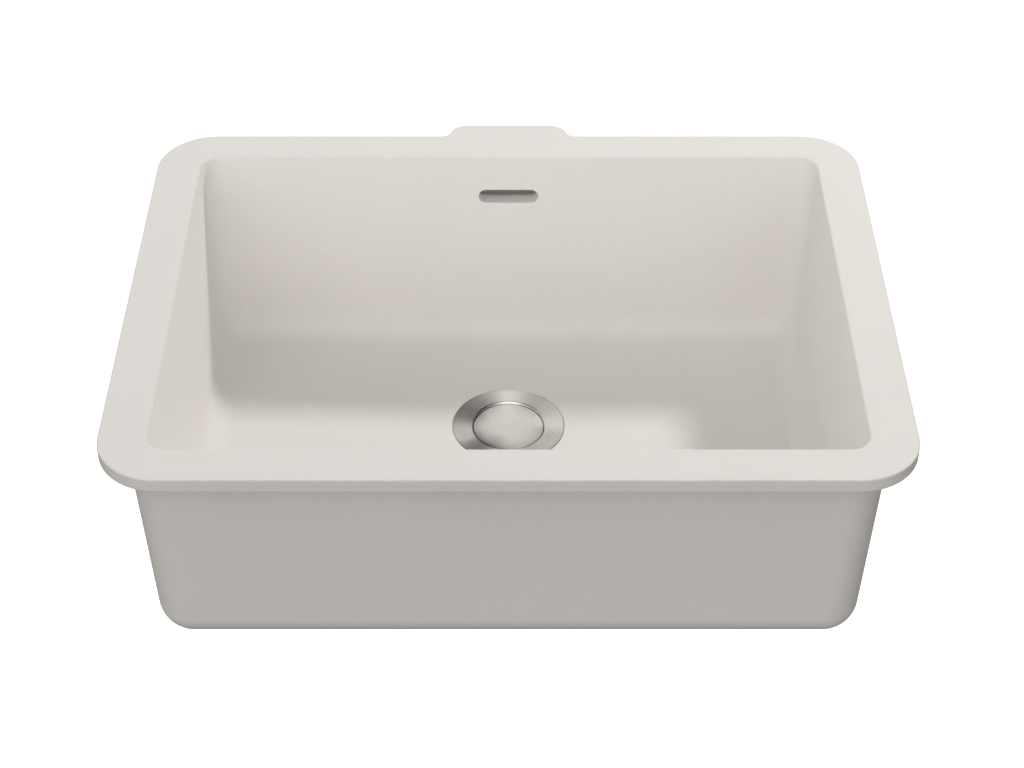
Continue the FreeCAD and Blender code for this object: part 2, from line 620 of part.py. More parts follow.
def make_basket():
    b = prof([(31.9, -18.0), (33.3, -18.0), (33.3, -19.6), (32.7, -19.6), (30.8, -44.4), (29.5, -47.5, "arc"), (26.4, -48.8),
              (13.4, -48.8), (11.85, -48.15, "arc"), (11.2, -46.6), (11.2, -34.3), (10.97, -33.73, "arc"), (10.4, -33.5), (5.9, -33.5),
              (5.9, -32.7), (10.4, -32.7), (11.53, -33.17, "arc"), (12.0, -34.3), (12.0, -46.6), (12.41, -47.59, "arc"), (13.4, -48.0),
              (26.4, -48.0), (28.93, -46.93, "arc"), (30.0, -44.4)])
    cuts = []
    for i in range(28):
        a = 360.0 * i / 28
        s = Part.makeBox(8.0, 2.0, 17.0, V(27.5, -1.0, zr(-41.5)))
        s = fillet_where(s, 0.95, lambda e: abs(e.BoundBox.XMax - e.BoundBox.XMin) > 7)
        s.rotate(V(0, 0, 0), V(0, 0, 1), a)
        s.translate(V(0, DRAIN_Y, 0))
        cuts.append(s)
    for r, n in ((17.2, 16), (21.0, 20), (24.8, 24)):
        for i in range(n):
            a = 2 * math.pi * i / n
            cuts.append(cyl(1.25, zr(-50), zr(-47), r * math.cos(a), DRAIN_Y + r * math.sin(a)))
    return b.cut(cuts)


def make_basket_nut():
    pts = [V(9.2 * math.cos(math.radians(60 * i)), DRAIN_Y + 9.2 * math.sin(math.radians(60 * i)), zr(-36.0)) for i in range(7)]
    n = Part.Face(Part.makePolygon(pts)).extrude(V(0, 0, 2.5))
    return n.cut(cyl(5.85, zr(-37), zr(-33)))


# ---------------------------------------------------------------- build
PIECES = [
    ("sink_bowl", make_bowl),
    ("overflow_inserts", make_inserts),
    ("overflow_gasket", make_overflow_gasket),
    ("overflow_housing", make_overflow_housing),
    ("overflow_screws", make_overflow_screws),
    ("overflow_upper_pipe", lambda: tube(PIPE_R, PIPE_BORE_R, SPIGOT_END_Z + SOCKET_DEPTH - 0.1, INLET_Z + ELBOW_LEG - SOCKET_DEPTH + 0.1, 0, PIPE_Y)),
    ("overflow_elbow", make_elbow),
    ("overflow_lower_pipe", lambda: cyl_y(PIPE_R, DRAIN_Y + 72.0 - SOCKET_DEPTH + 2.1, PIPE_Y - ELBOW_LEG + SOCKET_DEPTH - 0.1, 0, INLET_Z).cut(
        cyl_y(PIPE_BORE_R, DRAIN_Y + 50.0, PIPE_Y, 0, INLET_Z))),
    ("compression_nuts", make_nuts),
    ("compression_seals", make_pipe_seals),
    ("strainer_cup", make_strainer_cup),
    ("cup_gasket", make_cup_gasket),
    ("body_gasket", make_body_gasket),
    ("waste_body", make_waste_body),
    ("waste_inlet", make_waste_inlet),
    ("waste_tail", make_waste_tail),
    ("waste_bridge", make_waste_bridge),
    ("clamp_insert", make_clamp_insert),
    ("clamp_screw", make_clamp_screw),
    ("click_housing", make_click_housing),
    ("click_cap", make_click_cap),
    ("lifter_pin", make_lifter_pin),
    ("lifter_spring", make_lifter_spring),
    ("cam_rotor", make_cam_rotor),
    ("plug_cap", make_plug_cap),
    ("seal_carrier", make_seal_carrier),
    ("plug_seal", make_plug_seal),
    ("plug_stem", make_plug_stem),
    ("strainer_basket", make_basket),
    ("basket_nut", make_basket_nut),
]

for piece_name, maker in PIECES:
    save(piece_name, maker())
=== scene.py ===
import json
import math

import bmesh
import bpy
import numpy as np
from mathutils import Matrix, Vector


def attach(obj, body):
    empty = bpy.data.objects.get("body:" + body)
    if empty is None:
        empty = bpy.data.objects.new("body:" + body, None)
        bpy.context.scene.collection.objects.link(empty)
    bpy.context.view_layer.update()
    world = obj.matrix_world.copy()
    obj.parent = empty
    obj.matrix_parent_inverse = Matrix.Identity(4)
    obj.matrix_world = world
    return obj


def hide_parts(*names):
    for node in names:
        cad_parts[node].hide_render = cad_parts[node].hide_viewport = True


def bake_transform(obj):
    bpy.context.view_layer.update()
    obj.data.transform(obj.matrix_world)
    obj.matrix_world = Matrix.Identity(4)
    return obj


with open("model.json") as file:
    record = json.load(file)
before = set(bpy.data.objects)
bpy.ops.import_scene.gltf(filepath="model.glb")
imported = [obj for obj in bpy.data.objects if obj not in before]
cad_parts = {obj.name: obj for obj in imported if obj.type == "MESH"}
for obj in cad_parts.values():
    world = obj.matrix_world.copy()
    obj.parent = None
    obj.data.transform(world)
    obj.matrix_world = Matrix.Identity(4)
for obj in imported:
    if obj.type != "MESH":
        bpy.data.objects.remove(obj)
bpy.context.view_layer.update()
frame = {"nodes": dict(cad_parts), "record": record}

MM = 0.001
SKY = {"back": 0.66, "right": 0.03, "left": 0.475, "front": 1.13, "front_high": 1.34, "low": 0.10}
KEY = 79.0
PANEL = 1.0               # radiance of the overhead panel
WARM = (1.030, 1.0, 0.967)

# ---------------------------------------------------------------- sizes, in mm, in the row frame
FLANGE_HX, FLANGE_HY, FLANGE_R, FLANGE_T = 350.0, 262.5, 56.0, 13.5
TOP_EDGE_R, LOW_EDGE_R = 1.6, 1.2
TAB_DEPTH, TAB_HALF, TAB_CONVEX, TAB_CONCAVE = 20.0, 42.0, 18.0, 9.0
DRAFT = math.tan(math.radians(2.4))
TOTAL_H = 228.0
OUT_HX, OUT_HY, OUT_R, OUT_BOTTOM_R, COVE_R = 325.9, 238.4, 33.4, 32.0, 2.0
IN_HX, IN_HY, IN_R0, IN_R1, IN_BOTTOM_R, MOUTH_R = 308.0, 222.0, 18.0, 30.0, 24.0, 2.5
FLOOR_Z, FALL = -214.5, math.tan(math.radians(1.0))
SLOT_W, SLOT_H, SLOT_Z, SLOT_EDGE = 60.0, 15.0, -46.0, 1.3
POCKET_Y, POCKET_HX, POCKET_HZ, POCKET_R = 234.0, 47.0, 29.0, 10.0
INSERTS = [(-39.0, SLOT_Z + 19.0), (39.0, SLOT_Z + 19.0), (-39.0, SLOT_Z - 19.0), (39.0, SLOT_Z - 19.0)]
DRAIN_Y, SEAT_R, SEAT_DEPTH, HOLE_R = 60.0, 56.4, 3.6, 45.0
PIPE_R, PIPE_BORE_R, SOCKET_R, PIPE_Y = 11.0, 9.4, 14.0, 257.0
INLET_Z = FLOOR_Z - 45.0
ELBOW_LEG = 32.0
LIP_Z, CAP_Z = -0.4, -2.0


# ---------------------------------------------------------------- mesh helpers
def new_object(name, verts, faces, scale=MM):
    me = bpy.data.meshes.new(name)
    me.from_pydata([tuple(c * scale for c in v) for v in verts], [], faces)
    me.validate()
    bm = bmesh.new()
    bm.from_mesh(me)
    bmesh.ops.remove_doubles(bm, verts=bm.verts, dist=2e-7)
    bmesh.ops.recalc_face_normals(bm, faces=bm.faces)
    bm.to_mesh(me)
    bm.free()
    ob = bpy.data.objects.new(name, me)
    bpy.context.scene.collection.objects.link(ob)
    return ob


def apply_modifiers(ob):
    dg = bpy.context.evaluated_depsgraph_get()
    me = bpy.data.meshes.new_from_object(ob.evaluated_get(dg))
    ob.modifiers.clear()
    old = ob.data
    me.name = old.name
    ob.data = me
    bpy.data.meshes.remove(old)
    return ob


def shade(ob, angle=32.0):
    """Smooth shading with hard edges over the angle, and normals weighted by face area."""
    me = ob.data
    me.shade_smooth()
    me.set_sharp_from_angle(angle=math.radians(angle))
    m = ob.modifiers.new("weighted", "WEIGHTED_NORMAL")
    m.keep_sharp = True
    m.weight = 80
    return ob


def rounded(points, n=5):
    """Closed (r, z) or (x, y) polygon with each corner that has a third value rounded to that radius."""
    out = []
    k = len(points)
    for i in range(k):
        p = points[i]
        r = p[2] if len(p) > 2 else 0.0
        a, b, c = np.array(points[i - 1][:2], float), np.array(p[:2], float), np.array(points[(i + 1) % k][:2], float)
        if r <= 0:
            out.append(tuple(b))
            continue
        u, v = a - b, c - b
        lu, lv = np.linalg.norm(u), np.linalg.norm(v)
        u, v = u / lu, v / lv
        beta = math.acos(max(-1.0, min(1.0, float(u @ v))))
        if beta > math.pi - 0.02:
            out.append(tuple(b))
            continue
        tl = min(r / math.tan(beta / 2), 0.49 * lu, 0.49 * lv)
        r = tl * math.tan(beta / 2)
        o = b + (u + v) / np.linalg.norm(u + v) * (r / math.sin(beta / 2))
        e1, e2 = b + u * tl - o, b + v * tl - o
        w = math.acos(max(-1.0, min(1.0, float(e1 @ e2) / (r * r))))
        for j in range(n + 1):
            f = j / n
            q = (math.sin((1 - f) * w) * e1 + math.sin(f * w) * e2) / math.sin(w)
            out.append(tuple(o + q))
    return out


def lathe_mesh(profile, seg=128, cx=0.0, cy=DRAIN_Y, phase=0.0, radial=None):
    """Verts and faces of a closed (r, z) profile turned about a vertical axis.
    radial(r, z, angle) may change a ring point's radius."""
    verts, rings = [], []
    for r, z in profile:
        if r < 1e-5:
            rings.append([len(verts)])
            verts.append((cx, cy, z))
        else:
            start = len(verts)
            for i in range(seg):
                a = phase + 2 * math.pi * i / seg
                rr = radial(r, z, a) if radial else r
                verts.append((cx + rr * math.cos(a), cy + rr * math.sin(a), z))
            rings.append(list(range(start, start + seg)))
    faces = []
    m = len(rings)
    for k in range(m):
        a, b = rings[k], rings[(k + 1) % m]
        if len(a) == 1 and len(b) == 1:
            continue
        for i in range(seg):
            j = (i + 1) % seg
            if len(a) == 1:
                faces.append((a[0], b[i], b[j]))
            elif len(b) == 1:
                faces.append((a[i], b[0], a[j]))
            else:
                faces.append((a[i], b[i], b[j], a[j]))
    return verts, faces


def lathe(name, profile, seg=128, cx=0.0, cy=DRAIN_Y, phase=0.0, radial=None, angle=32.0):
    v, f = lathe_mesh(profile, seg, cx, cy, phase, radial)
    ob = new_object(name, v, f)
    return shade(ob, angle)


def rel(points):
    """Profile heights given from the floor level at the drain."""
    return [(p[0], FLOOR_Z + p[1]) + tuple(p[2:]) for p in points]


def prism(name, outline, z0, z1, matrix=None):
    """Closed outline in XY between two heights, then moved by the matrix (mm)."""
    n = len(outline)
    verts = [(x, y, z0) for x, y in outline] + [(x, y, z1) for x, y in outline]
    if matrix is not None:
        verts = [tuple(matrix @ Vector(v)) for v in verts]
    faces = [tuple(range(n)), tuple(range(2 * n - 1, n - 1, -1))]
    faces += [(i, (i + 1) % n, n + (i + 1) % n, n + i) for i in range(n)]
    return new_object(name, verts, faces)


def boolean(ob, cutters, operation="DIFFERENCE"):
    for c in cutters:
        m = ob.modifiers.new("cut", "BOOLEAN")
        m.operation = operation
        m.solver = "EXACT"
        m.object = c
        apply_modifiers(ob)
        bpy.data.objects.remove(c, do_unlink=True)
    return ob


# ---------------------------------------------------------------- sink bowl
def tab_y(x):
    """How far the tab stands out of the flange's back edge at x."""
    rs = TAB_CONVEX + TAB_CONCAVE
    phi = math.acos(1 - TAB_DEPTH / rs)
    xb = TAB_HALF + rs * math.sin(phi)
    xj = TAB_HALF + TAB_CONVEX * math.sin(phi)
    x = abs(x)
    if x <= TAB_HALF:
        return TAB_DEPTH, 0.0
    if x <= xj:
        d = x - TAB_HALF
        h = math.sqrt(TAB_CONVEX ** 2 - d * d)
        return TAB_DEPTH - TAB_CONVEX + h, -d / h
    if x <= xb:
        d = xb - x
        h = math.sqrt(TAB_CONCAVE ** 2 - d * d)
        return TAB_CONCAVE - h, -d / h
    return 0.0, 0.0


def stations():
    rs = TAB_CONVEX + TAB_CONCAVE
    phi = math.acos(1 - TAB_DEPTH / rs)
    xb = TAB_HALF + rs * math.sin(phi)
    half = list(np.linspace(0, TAB_HALF - 3, 6)[1:]) + [TAB_HALF]
    half += [TAB_HALF + TAB_CONVEX * math.sin(a) for a in np.linspace(0, phi, 13)[1:]]
    half += [xb - TAB_CONCAVE * math.sin(a) for a in np.linspace(phi, 0, 9)[1:]]
    half += list(np.linspace(xb + 4, FLANGE_HX - FLANGE_R, 16)[:-1])
    back = sorted([-x for x in half] + [0.0] + half, reverse=True)
    back_t = [x / (FLANGE_HX - FLANGE_R) for x in back]
    front_t = list(np.linspace(-1, 1, 46)[1:-1])
    side_t = list(np.linspace(-1, 1, 36)[1:-1])
    U, N = [], []

    def corner(sx, sy, a0):
        for a in np.linspace(a0, a0 + 90, 25):
            r = math.radians(a)
            U.append((sx, sy))
            N.append((math.cos(r), math.sin(r)))

    for t in front_t:
        U.append((t, -1.0)); N.append((0.0, -1.0))
    corner(1, -1, -90)
    for t in side_t:
        U.append((1.0, t)); N.append((1.0, 0.0))
    corner(1, 1, 0)
    for t in back_t:
        U.append((t, 1.0)); N.append((0.0, 1.0))
    corner(-1, 1, 90)
    for t in reversed(side_t):
        U.append((-1.0, t)); N.append((-1.0, 0.0))
    corner(-1, -1, 180)
    return np.array(U), np.array(N)


def fillet_rows(C, n, z, d1, d2, R, count):
    """Rows of an arc of radius R in the plane of n and Z at each station, between directions d1 and d2 (each N x 2: along n, along z)."""
    d1 = d1 / np.linalg.norm(d1, axis=1, keepdims=True)
    d2 = d2 / np.linalg.norm(d2, axis=1, keepdims=True)
    beta = np.arccos(np.clip((d1 * d2).sum(1), -1, 1))
    tl = R / np.tan(beta / 2)
    mid = d1 + d2
    mid = mid / np.linalg.norm(mid, axis=1, keepdims=True)
    O = mid * (R / np.sin(beta / 2))[:, None]
    e1, e2 = d1 * tl[:, None] - O, d2 * tl[:, None] - O
    w = math.pi - beta
    rows = []
    for k in range(count + 1):
        f = k / count
        q = O + (np.sin((1 - f) * w)[:, None] * e1 + np.sin(f * w)[:, None] * e2) / np.sin(w)[:, None]
        rows.append(np.column_stack([C + n * q[:, :1], z + q[:, 1]]))
    return rows


def sink_bowl():
    U, N = stations()
    D = np.array([0.0, DRAIN_Y])

    def inner(z):
        z = np.asarray(z, float).reshape(-1, 1)
        r = IN_R0 - (IN_R1 - IN_R0) * z / -FLOOR_Z
        h = np.concatenate([IN_HX + z * DRAFT, IN_HY + z * DRAFT], 1)
        return U * (h - r) + r * N

    def outer(z):
        z = np.asarray(z, float).reshape(-1, 1)
        d = (z + FLANGE_T) * DRAFT
        h = np.concatenate([OUT_HX + d, OUT_HY + d], 1)
        return U * (h - OUT_R) + OUT_R * N

    z0 = FLOOR_Z - SEAT_R * FALL

    def floor_z(P):
        return z0 + np.linalg.norm(P - D, axis=1) * FALL

    def flat(P, z):
        return np.column_stack([P, np.broadcast_to(np.asarray(z, float), (len(P),))])

    n = len(U)
    zeros = np.zeros(n)
    rows = []

    # where the wall meets the floor
    z = np.full(n, FLOOR_Z)
    for _ in range(6):
        z = floor_z(inner(z))
    C = inner(z)
    s = ((inner(z + 0.5) - inner(z - 0.5)) * N).sum(1)
    to_c = (C - D) / np.linalg.norm(C - D, axis=1, keepdims=True)
    g = FALL * (to_c * N).sum(1)
    low = fillet_rows(C, N, z, np.column_stack([-np.ones(n), -g]), np.column_stack([s, np.ones(n)]), IN_BOTTOM_R, 14)
    foot = low[0][:, :2]

    # drain seat edge, then the floor out to the fillet
    ang = np.arctan2(foot[:, 1] - DRAIN_Y, foot[:, 0])
    ring = np.column_stack([np.cos(ang), np.sin(ang)])
    e = 0.45
    rows.append(flat(D + ring * SEAT_R, FLOOR_Z - e))
    rows.append(flat(D + ring * (SEAT_R + e * 0.29), FLOOR_Z - e * 0.29))
    rows.append(flat(D + ring * (SEAT_R + e), FLOOR_Z + e * FALL))
    inner_ring = D + ring * (SEAT_R + e)
    for f in (0.04, 0.12, 0.25, 0.42, 0.6, 0.78, 0.9):
        P = inner_ring + (foot - inner_ring) * f
        rows.append(flat(P, floor_z(P)))
    low[0][:, 2] = floor_z(foot)
    rows += low
    # inner wall
    C0 = inner(zeros)
    s0 = ((inner(zeros + 0.5) - inner(zeros - 0.5)) * N).sum(1)
    mouth = fillet_rows(C0, N, zeros, np.column_stack([-s0, -np.ones(n)]), np.column_stack([np.ones(n), zeros]), MOUTH_R, 6)
    za, zb = low[-1][:, 2], mouth[0][:, 2]
    for f in np.linspace(0, 1, 11)[1:-1]:
        zz = za + (zb - za) * f
        rows.append(np.column_stack([inner(zz), zz]))
    rows += mouth
    # flange top, edge and underside, with the tab in the outline
    P = U * np.array([FLANGE_HX - FLANGE_R, FLANGE_HY - FLANGE_R]) + FLANGE_R * N
    M = N.copy()
    for i in range(n):
        if N[i, 1] > 0.999999 and U[i, 1] > 0.999999 and abs(U[i, 0]) < 0.9999:
            y, slope = tab_y(P[i, 0])
            P[i, 1] += y
            slope = slope if P[i, 0] > 0 else -slope
            M[i] = np.array([-slope, 1.0]) / math.hypot(slope, 1.0)
    a = P - M * TOP_EDGE_R
    b = mouth[-1][:, :2]
    for f in (0.12, 0.5, 0.88):
        rows.append(flat(b + (a - b) * f, 0.0))
    for k in range(6):
        t = math.radians(90 - 90 * k / 5)
        rows.append(flat(P - M * TOP_EDGE_R * (1 - math.cos(t)), -TOP_EDGE_R * (1 - math.sin(t))))
    for f in (0.5,):
        rows.append(flat(P, -FLANGE_T * f))
    for k in range(5):
        t = math.radians(90 * k / 4)
        rows.append(flat(P - M * LOW_EDGE_R * (1 - math.cos(t)), -FLANGE_T + LOW_EDGE_R * (1 - math.sin(t))))
    Co = outer(zeros - FLANGE_T)
    so = ((outer(zeros + 0.5) - outer(zeros - 0.5)) * N).sum(1)
    cove = fillet_rows(Co, N, zeros - FLANGE_T, np.column_stack([np.ones(n), zeros]), np.column_stack([-so, -np.ones(n)]), COVE_R, 5)
    a, b = rows[-1][:, :2], cove[0][:, :2]
    for f in (0.15, 0.5, 0.85):
        rows.append(flat(a + (b - a) * f, -FLANGE_T))
    rows += cove
    # outer wall and bottom
    Cb = outer(zeros - TOTAL_H)
    foot_o = fillet_rows(Cb, N, zeros - TOTAL_H, np.column_stack([so, np.ones(n)]), np.column_stack([-np.ones(n), zeros]), OUT_BOTTOM_R, 16)
    za, zb = cove[-1][:, 2], foot_o[0][:, 2]
    for f in np.linspace(0, 1, 9)[1:-1]:
        zz = za + (zb - za) * f
        rows.append(np.column_stack([outer(zz), zz]))
    rows += foot_o
    b = foot_o[-1][:, :2]
    hole = D + ring * (HOLE_R + 0.5)
    for f in (0.15, 0.4, 0.65, 0.85, 0.95, 1.0):
        rows.append(flat(b + (hole - b) * f, -TOTAL_H))
    rows.append(flat(D + ring * HOLE_R, -TOTAL_H + 0.5))
    rows.append(flat(D + ring * HOLE_R, FLOOR_Z - SEAT_DEPTH))
    rows.append(flat(D + ring * SEAT_R, FLOOR_Z - SEAT_DEPTH))

    verts = np.concatenate(rows)
    m = len(rows)
    faces = []
    for k in range(m):
        k2 = (k + 1) % m
        for i in range(n):
            j = (i + 1) % n
            faces.append((k * n + i, k * n + j, k2 * n + j, k2 * n + i))
    ob = new_object("bowl_casting", verts.tolist(), faces)

    # recess behind the slot, the slot with its rounded edge, the insert holes
    def upright(points, y0, y1, name):
        mat = Matrix(((1, 0, 0, 0), (0, 0, 1, 0), (0, 1, 0, 0), (0, 0, 0, 1)))
        return prism(name, points, y0, y1, mat)

    hx, hz, r = POCKET_HX, POCKET_HZ, POCKET_R
    pocket = rounded([(-hx, SLOT_Z - hz, r), (hx, SLOT_Z - hz, r), (hx, SLOT_Z + hz, r), (-hx, SLOT_Z + hz, r)], 8)
    cutters = [upright(pocket, POCKET_Y, POCKET_Y + 18, "cut_pocket")]

    def stadium(o, count=20):
        rr, a = SLOT_H / 2, SLOT_W / 2 - SLOT_H / 2
        pts = []
        for side in (1, -1):
            for k in range(count + 1):
                t = math.radians(-90 + 180 * k / count)
                pts.append((side * (a + (rr + o) * math.cos(t)), SLOT_Z + side * (rr + o) * math.sin(t)))
        return pts

    levels = [(-1.2, 0.741 * SLOT_EDGE + (0.034 * SLOT_EDGE + 1.2) * math.tan(math.radians(75)))]
    for t in (75, 60, 45, 30, 15, 0):
        t = math.radians(t)
        levels.append((SLOT_EDGE * (1 - math.sin(t)), SLOT_EDGE * (1 - math.cos(t))))
    verts, faces = [], []
    for s_, o_ in levels:
        for x, zz in stadium(o_):
            verts.append((x, IN_HY + zz * DRAFT + s_, zz))
    for x, zz in stadium(0.0):
        verts.append((x, POCKET_Y + 4.0, zz))
    k = len(stadium(0.0))
    for lv in range(len(levels)):
        for i in range(k):
            j = (i + 1) % k
            faces.append((lv * k + i, lv * k + j, (lv + 1) * k + j, (lv + 1) * k + i))
    faces.append(tuple(range(k - 1, -1, -1)))
    faces.append(tuple(range(len(levels) * k, (len(levels) + 1) * k)))
    cutters.append(new_object("cut_slot", verts, faces))
    for x, zz in INSERTS:
        circle = [(x + 3.2 * math.cos(a), zz + 3.2 * math.sin(a)) for a in np.linspace(0, 2 * math.pi, 25)[:-1]]
        cutters.append(upright(circle, POCKET_Y - 7.5, POCKET_Y + 1.0, "cut_insert"))
    boolean(ob, cutters)
    return shade(ob, 28.0)


# ---------------------------------------------------------------- drain and waste, turned pieces
def strainer_cup():
    p = rel([(56.0, -2.4, 0.2), (56.0, 0.25, 0.8), (54.4, 0.25, 1.0), (35.8, LIP_Z, 3.0), (35.8, -11.4, 0.6), (34.0, -13.2, 0.6),
             (34.0, -58.0, 6.0), (7.2, -58.0, 0.3), (7.2, -59.2, 0.3), (35.2, -59.2, 7.2), (35.2, -13.7, 0.6), (37.0, -11.9, 0.6), (37.0, -2.4, 1.0)])
    v, f = lathe_mesh(rounded(p, 6), 192)
    ob = new_object("drain_cup", v, f)
    cutters = []
    for i in range(8):
        a = math.radians(22.5 + 45 * i)
        cx, cy = 20.5 * math.cos(a), DRAIN_Y + 20.5 * math.sin(a)
        circle = [(cx + 5.2 * math.cos(t), cy + 5.2 * math.sin(t)) for t in np.linspace(0, 2 * math.pi, 41)[:-1]]
        cutters.append(prism("cut_hole", circle, FLOOR_Z - 61, FLOOR_Z - 55))
    boolean(ob, cutters)
    return shade(ob, 30.0)


def plug_cap():
    t = CAP_Z
    p = rel([(0, t), (35.3, t, 0.7), (35.3, -8.6, 0.3), (34.3, -8.6, 0.3), (34.3, t - 1.2, 0.7), (6.0, t - 1.2, 0.3), (6.0, -11.0, 0.3), (3.05, -11.0),
             (3.05, -8.0), (0, -8.0)])
    q = rounded(p, 6)
    # extra rings across the flat top, for the finish
    i = q.index(tuple(p[0][:2]))
    top = [(r, FLOOR_Z + t) for r in (6, 12, 18, 24, 30, 33.5)]
    q = q[:i + 1] + top + q[i + 1:]
    return lathe("cover_disc", q, 192)



def helix(R, pitch, depth, z_from, z_to):
    """Radius of a screw thread as a function for lathe: cosine ridges between z_from and z_to, running out at both ends."""
    def radial(r, z, a):
        if abs(r - R) > 1e-3 or not z_from <= z <= z_to:
            return r
        fade = min(1.0, (z - z_from) / pitch, (z_to - z) / pitch)
        c = 0.5 - 0.5 * math.cos(2 * math.pi * (z / pitch - a / (2 * math.pi)))
        return r - depth * fade * min(1.0, 1.35 * c)
    return radial


def waste_body():
    end = -118.0
    rows = list(np.arange(end + 0.6, -86.4, 2.309 / 8))
    outer = [(56.0, -16.5, 0.3), (56.0, -21.2, 0.7), (47.6, -22.4, 1.2), (46.0, -24.2, 1.2), (46.0, -62.0, 3.0), (30.0, -80.0, 3.0), (25.0, -84.4, 1.0),
             (23.9, -86.0, 0.4)]
    outer += [(23.9, z) for z in rows[::-1]] + [(22.9, end)]
    inner = [(20.5, end, 0.3), (20.5, -85.0, 2.0), (27.2, -78.6, 2.0), (43.0, -60.6, 3.0), (43.0, -16.5)]
    thread = helix(23.9, 2.309, 0.95, FLOOR_Z + end, FLOOR_Z - 87.0)
    v, f = lathe_mesh(rounded(rel(outer + inner), 4), 144, radial=thread)
    body = new_object("waste_shell", v, f)

    full = rounded(rel([(0.0, -18.0), (43.6, -18.0), (43.6, -62.0), (29.0, -79.0), (21.5, -85.4), (21.5, end + 2), (0.0, end + 2)]), 2)
    core_v, core_f = lathe_mesh(rel([(0.0, -10.0), (43.0, -10.0), (43.0, -60.6), (27.2, -78.6), (20.5, -85.0), (20.5, end - 3), (0.0, end - 3)]), 144)

    # gussets under the clamping ring
    add = []
    for i in range(12):
        a = math.radians(15.0 + 30.0 * i)
        mat = Matrix.Translation((0, DRAIN_Y, 0)) @ Matrix.Rotation(a, 4, "Z") @ Matrix(((1, 0, 0, 0), (0, 0, 1, 0), (0, 1, 0, 0), (0, 0, 0, 1)))
        pts = rounded([(44.5, FLOOR_Z - 20.6), (54.6, FLOOR_Z - 20.6), (54.6, FLOOR_Z - 22.4, 0.6), (44.5, FLOOR_Z - 38.8)], 3)
        add.append(prism("gusset", pts, -1.2, 1.2, mat))
    # inlet for the overflow, with its collar and thread
    y_end = DRAIN_Y + 72.0
    inlet = [(0.0, 40.0), (16.0, 40.0), (16.0, 43.5), (15.6, 53.5, 0.6), (14.0, 53.5, 0.3), (14.0, 53.9)]
    inlet += [(14.0, t) for t in np.arange(54.4, 71.2, 0.3)] + [(13.2, 72.0), (0.0, 72.0)]
    v, f = lathe_mesh(rounded(inlet, 3), 96, cy=0.0, radial=helix(14.0, 2.4, 0.7, 54.6, 72.0))
    v = [(x, DRAIN_Y + z, INLET_Z - y) for x, y, z in v]
    inlet_ob = new_object("inlet", v, f)
    core = new_object("core", core_v, core_f)
    boolean(inlet_ob, [core])
    add.append(inlet_ob)
    boolean(body, add, "UNION")
    bores = []
    for r, y0, y1 in ((PIPE_BORE_R, 30.0, 73.0), (PIPE_R + 0.05, 62.0, 73.5)):
        circle = [(r * math.cos(t), INLET_Z + r * math.sin(t)) for t in np.linspace(0, 2 * math.pi, 61)[:-1]]
        mat = Matrix(((1, 0, 0, 0), (0, 0, 1, 0), (0, 1, 0, 0), (0, 0, 0, 1)))
        bores.append(prism("bore", circle, DRAIN_Y + y0, DRAIN_Y + y1, mat))
    boolean(body, bores)
    # bridge for the centre screw
    ribs = []
    for i in range(3):
        a = math.radians(30.0 + 120.0 * i)
        pts = rounded([(5.0, -2.0), (44.4, -2.0), (44.4, 2.0), (5.0, 2.0)], 1)
        pts = [(x * math.cos(a) - y * math.sin(a), DRAIN_Y + x * math.sin(a) + y * math.cos(a)) for x, y in pts]
        ribs.append(prism("rib", pts, FLOOR_Z - 72.0, FLOOR_Z - 62.0))
    v, f = lathe_mesh(rounded(rel([(0.0, -59.25), (13.0, -59.25, 0.5), (13.0, -76.0, 0.8), (0.0, -76.0)]), 3), 96)
    hub = new_object("bridge", v, f)
    boolean(hub, ribs, "UNION")
    v, f = lathe_mesh(full, 144)
    boolean(hub, [new_object("full", v, f)], "INTERSECT")
    for r, z0, z1 in ((9.55, -58.0, -74.5), (7.2, -58.0, -80.0)):
        circle = [(r * math.cos(t), DRAIN_Y + r * math.sin(t)) for t in np.linspace(0, 2 * math.pi, 73)[:-1]]
        boolean(hub, [prism("hole", circle, FLOOR_Z + z1, FLOOR_Z + z0)])
    boolean(body, [hub], "UNION")
    return shade(body, 34.0)


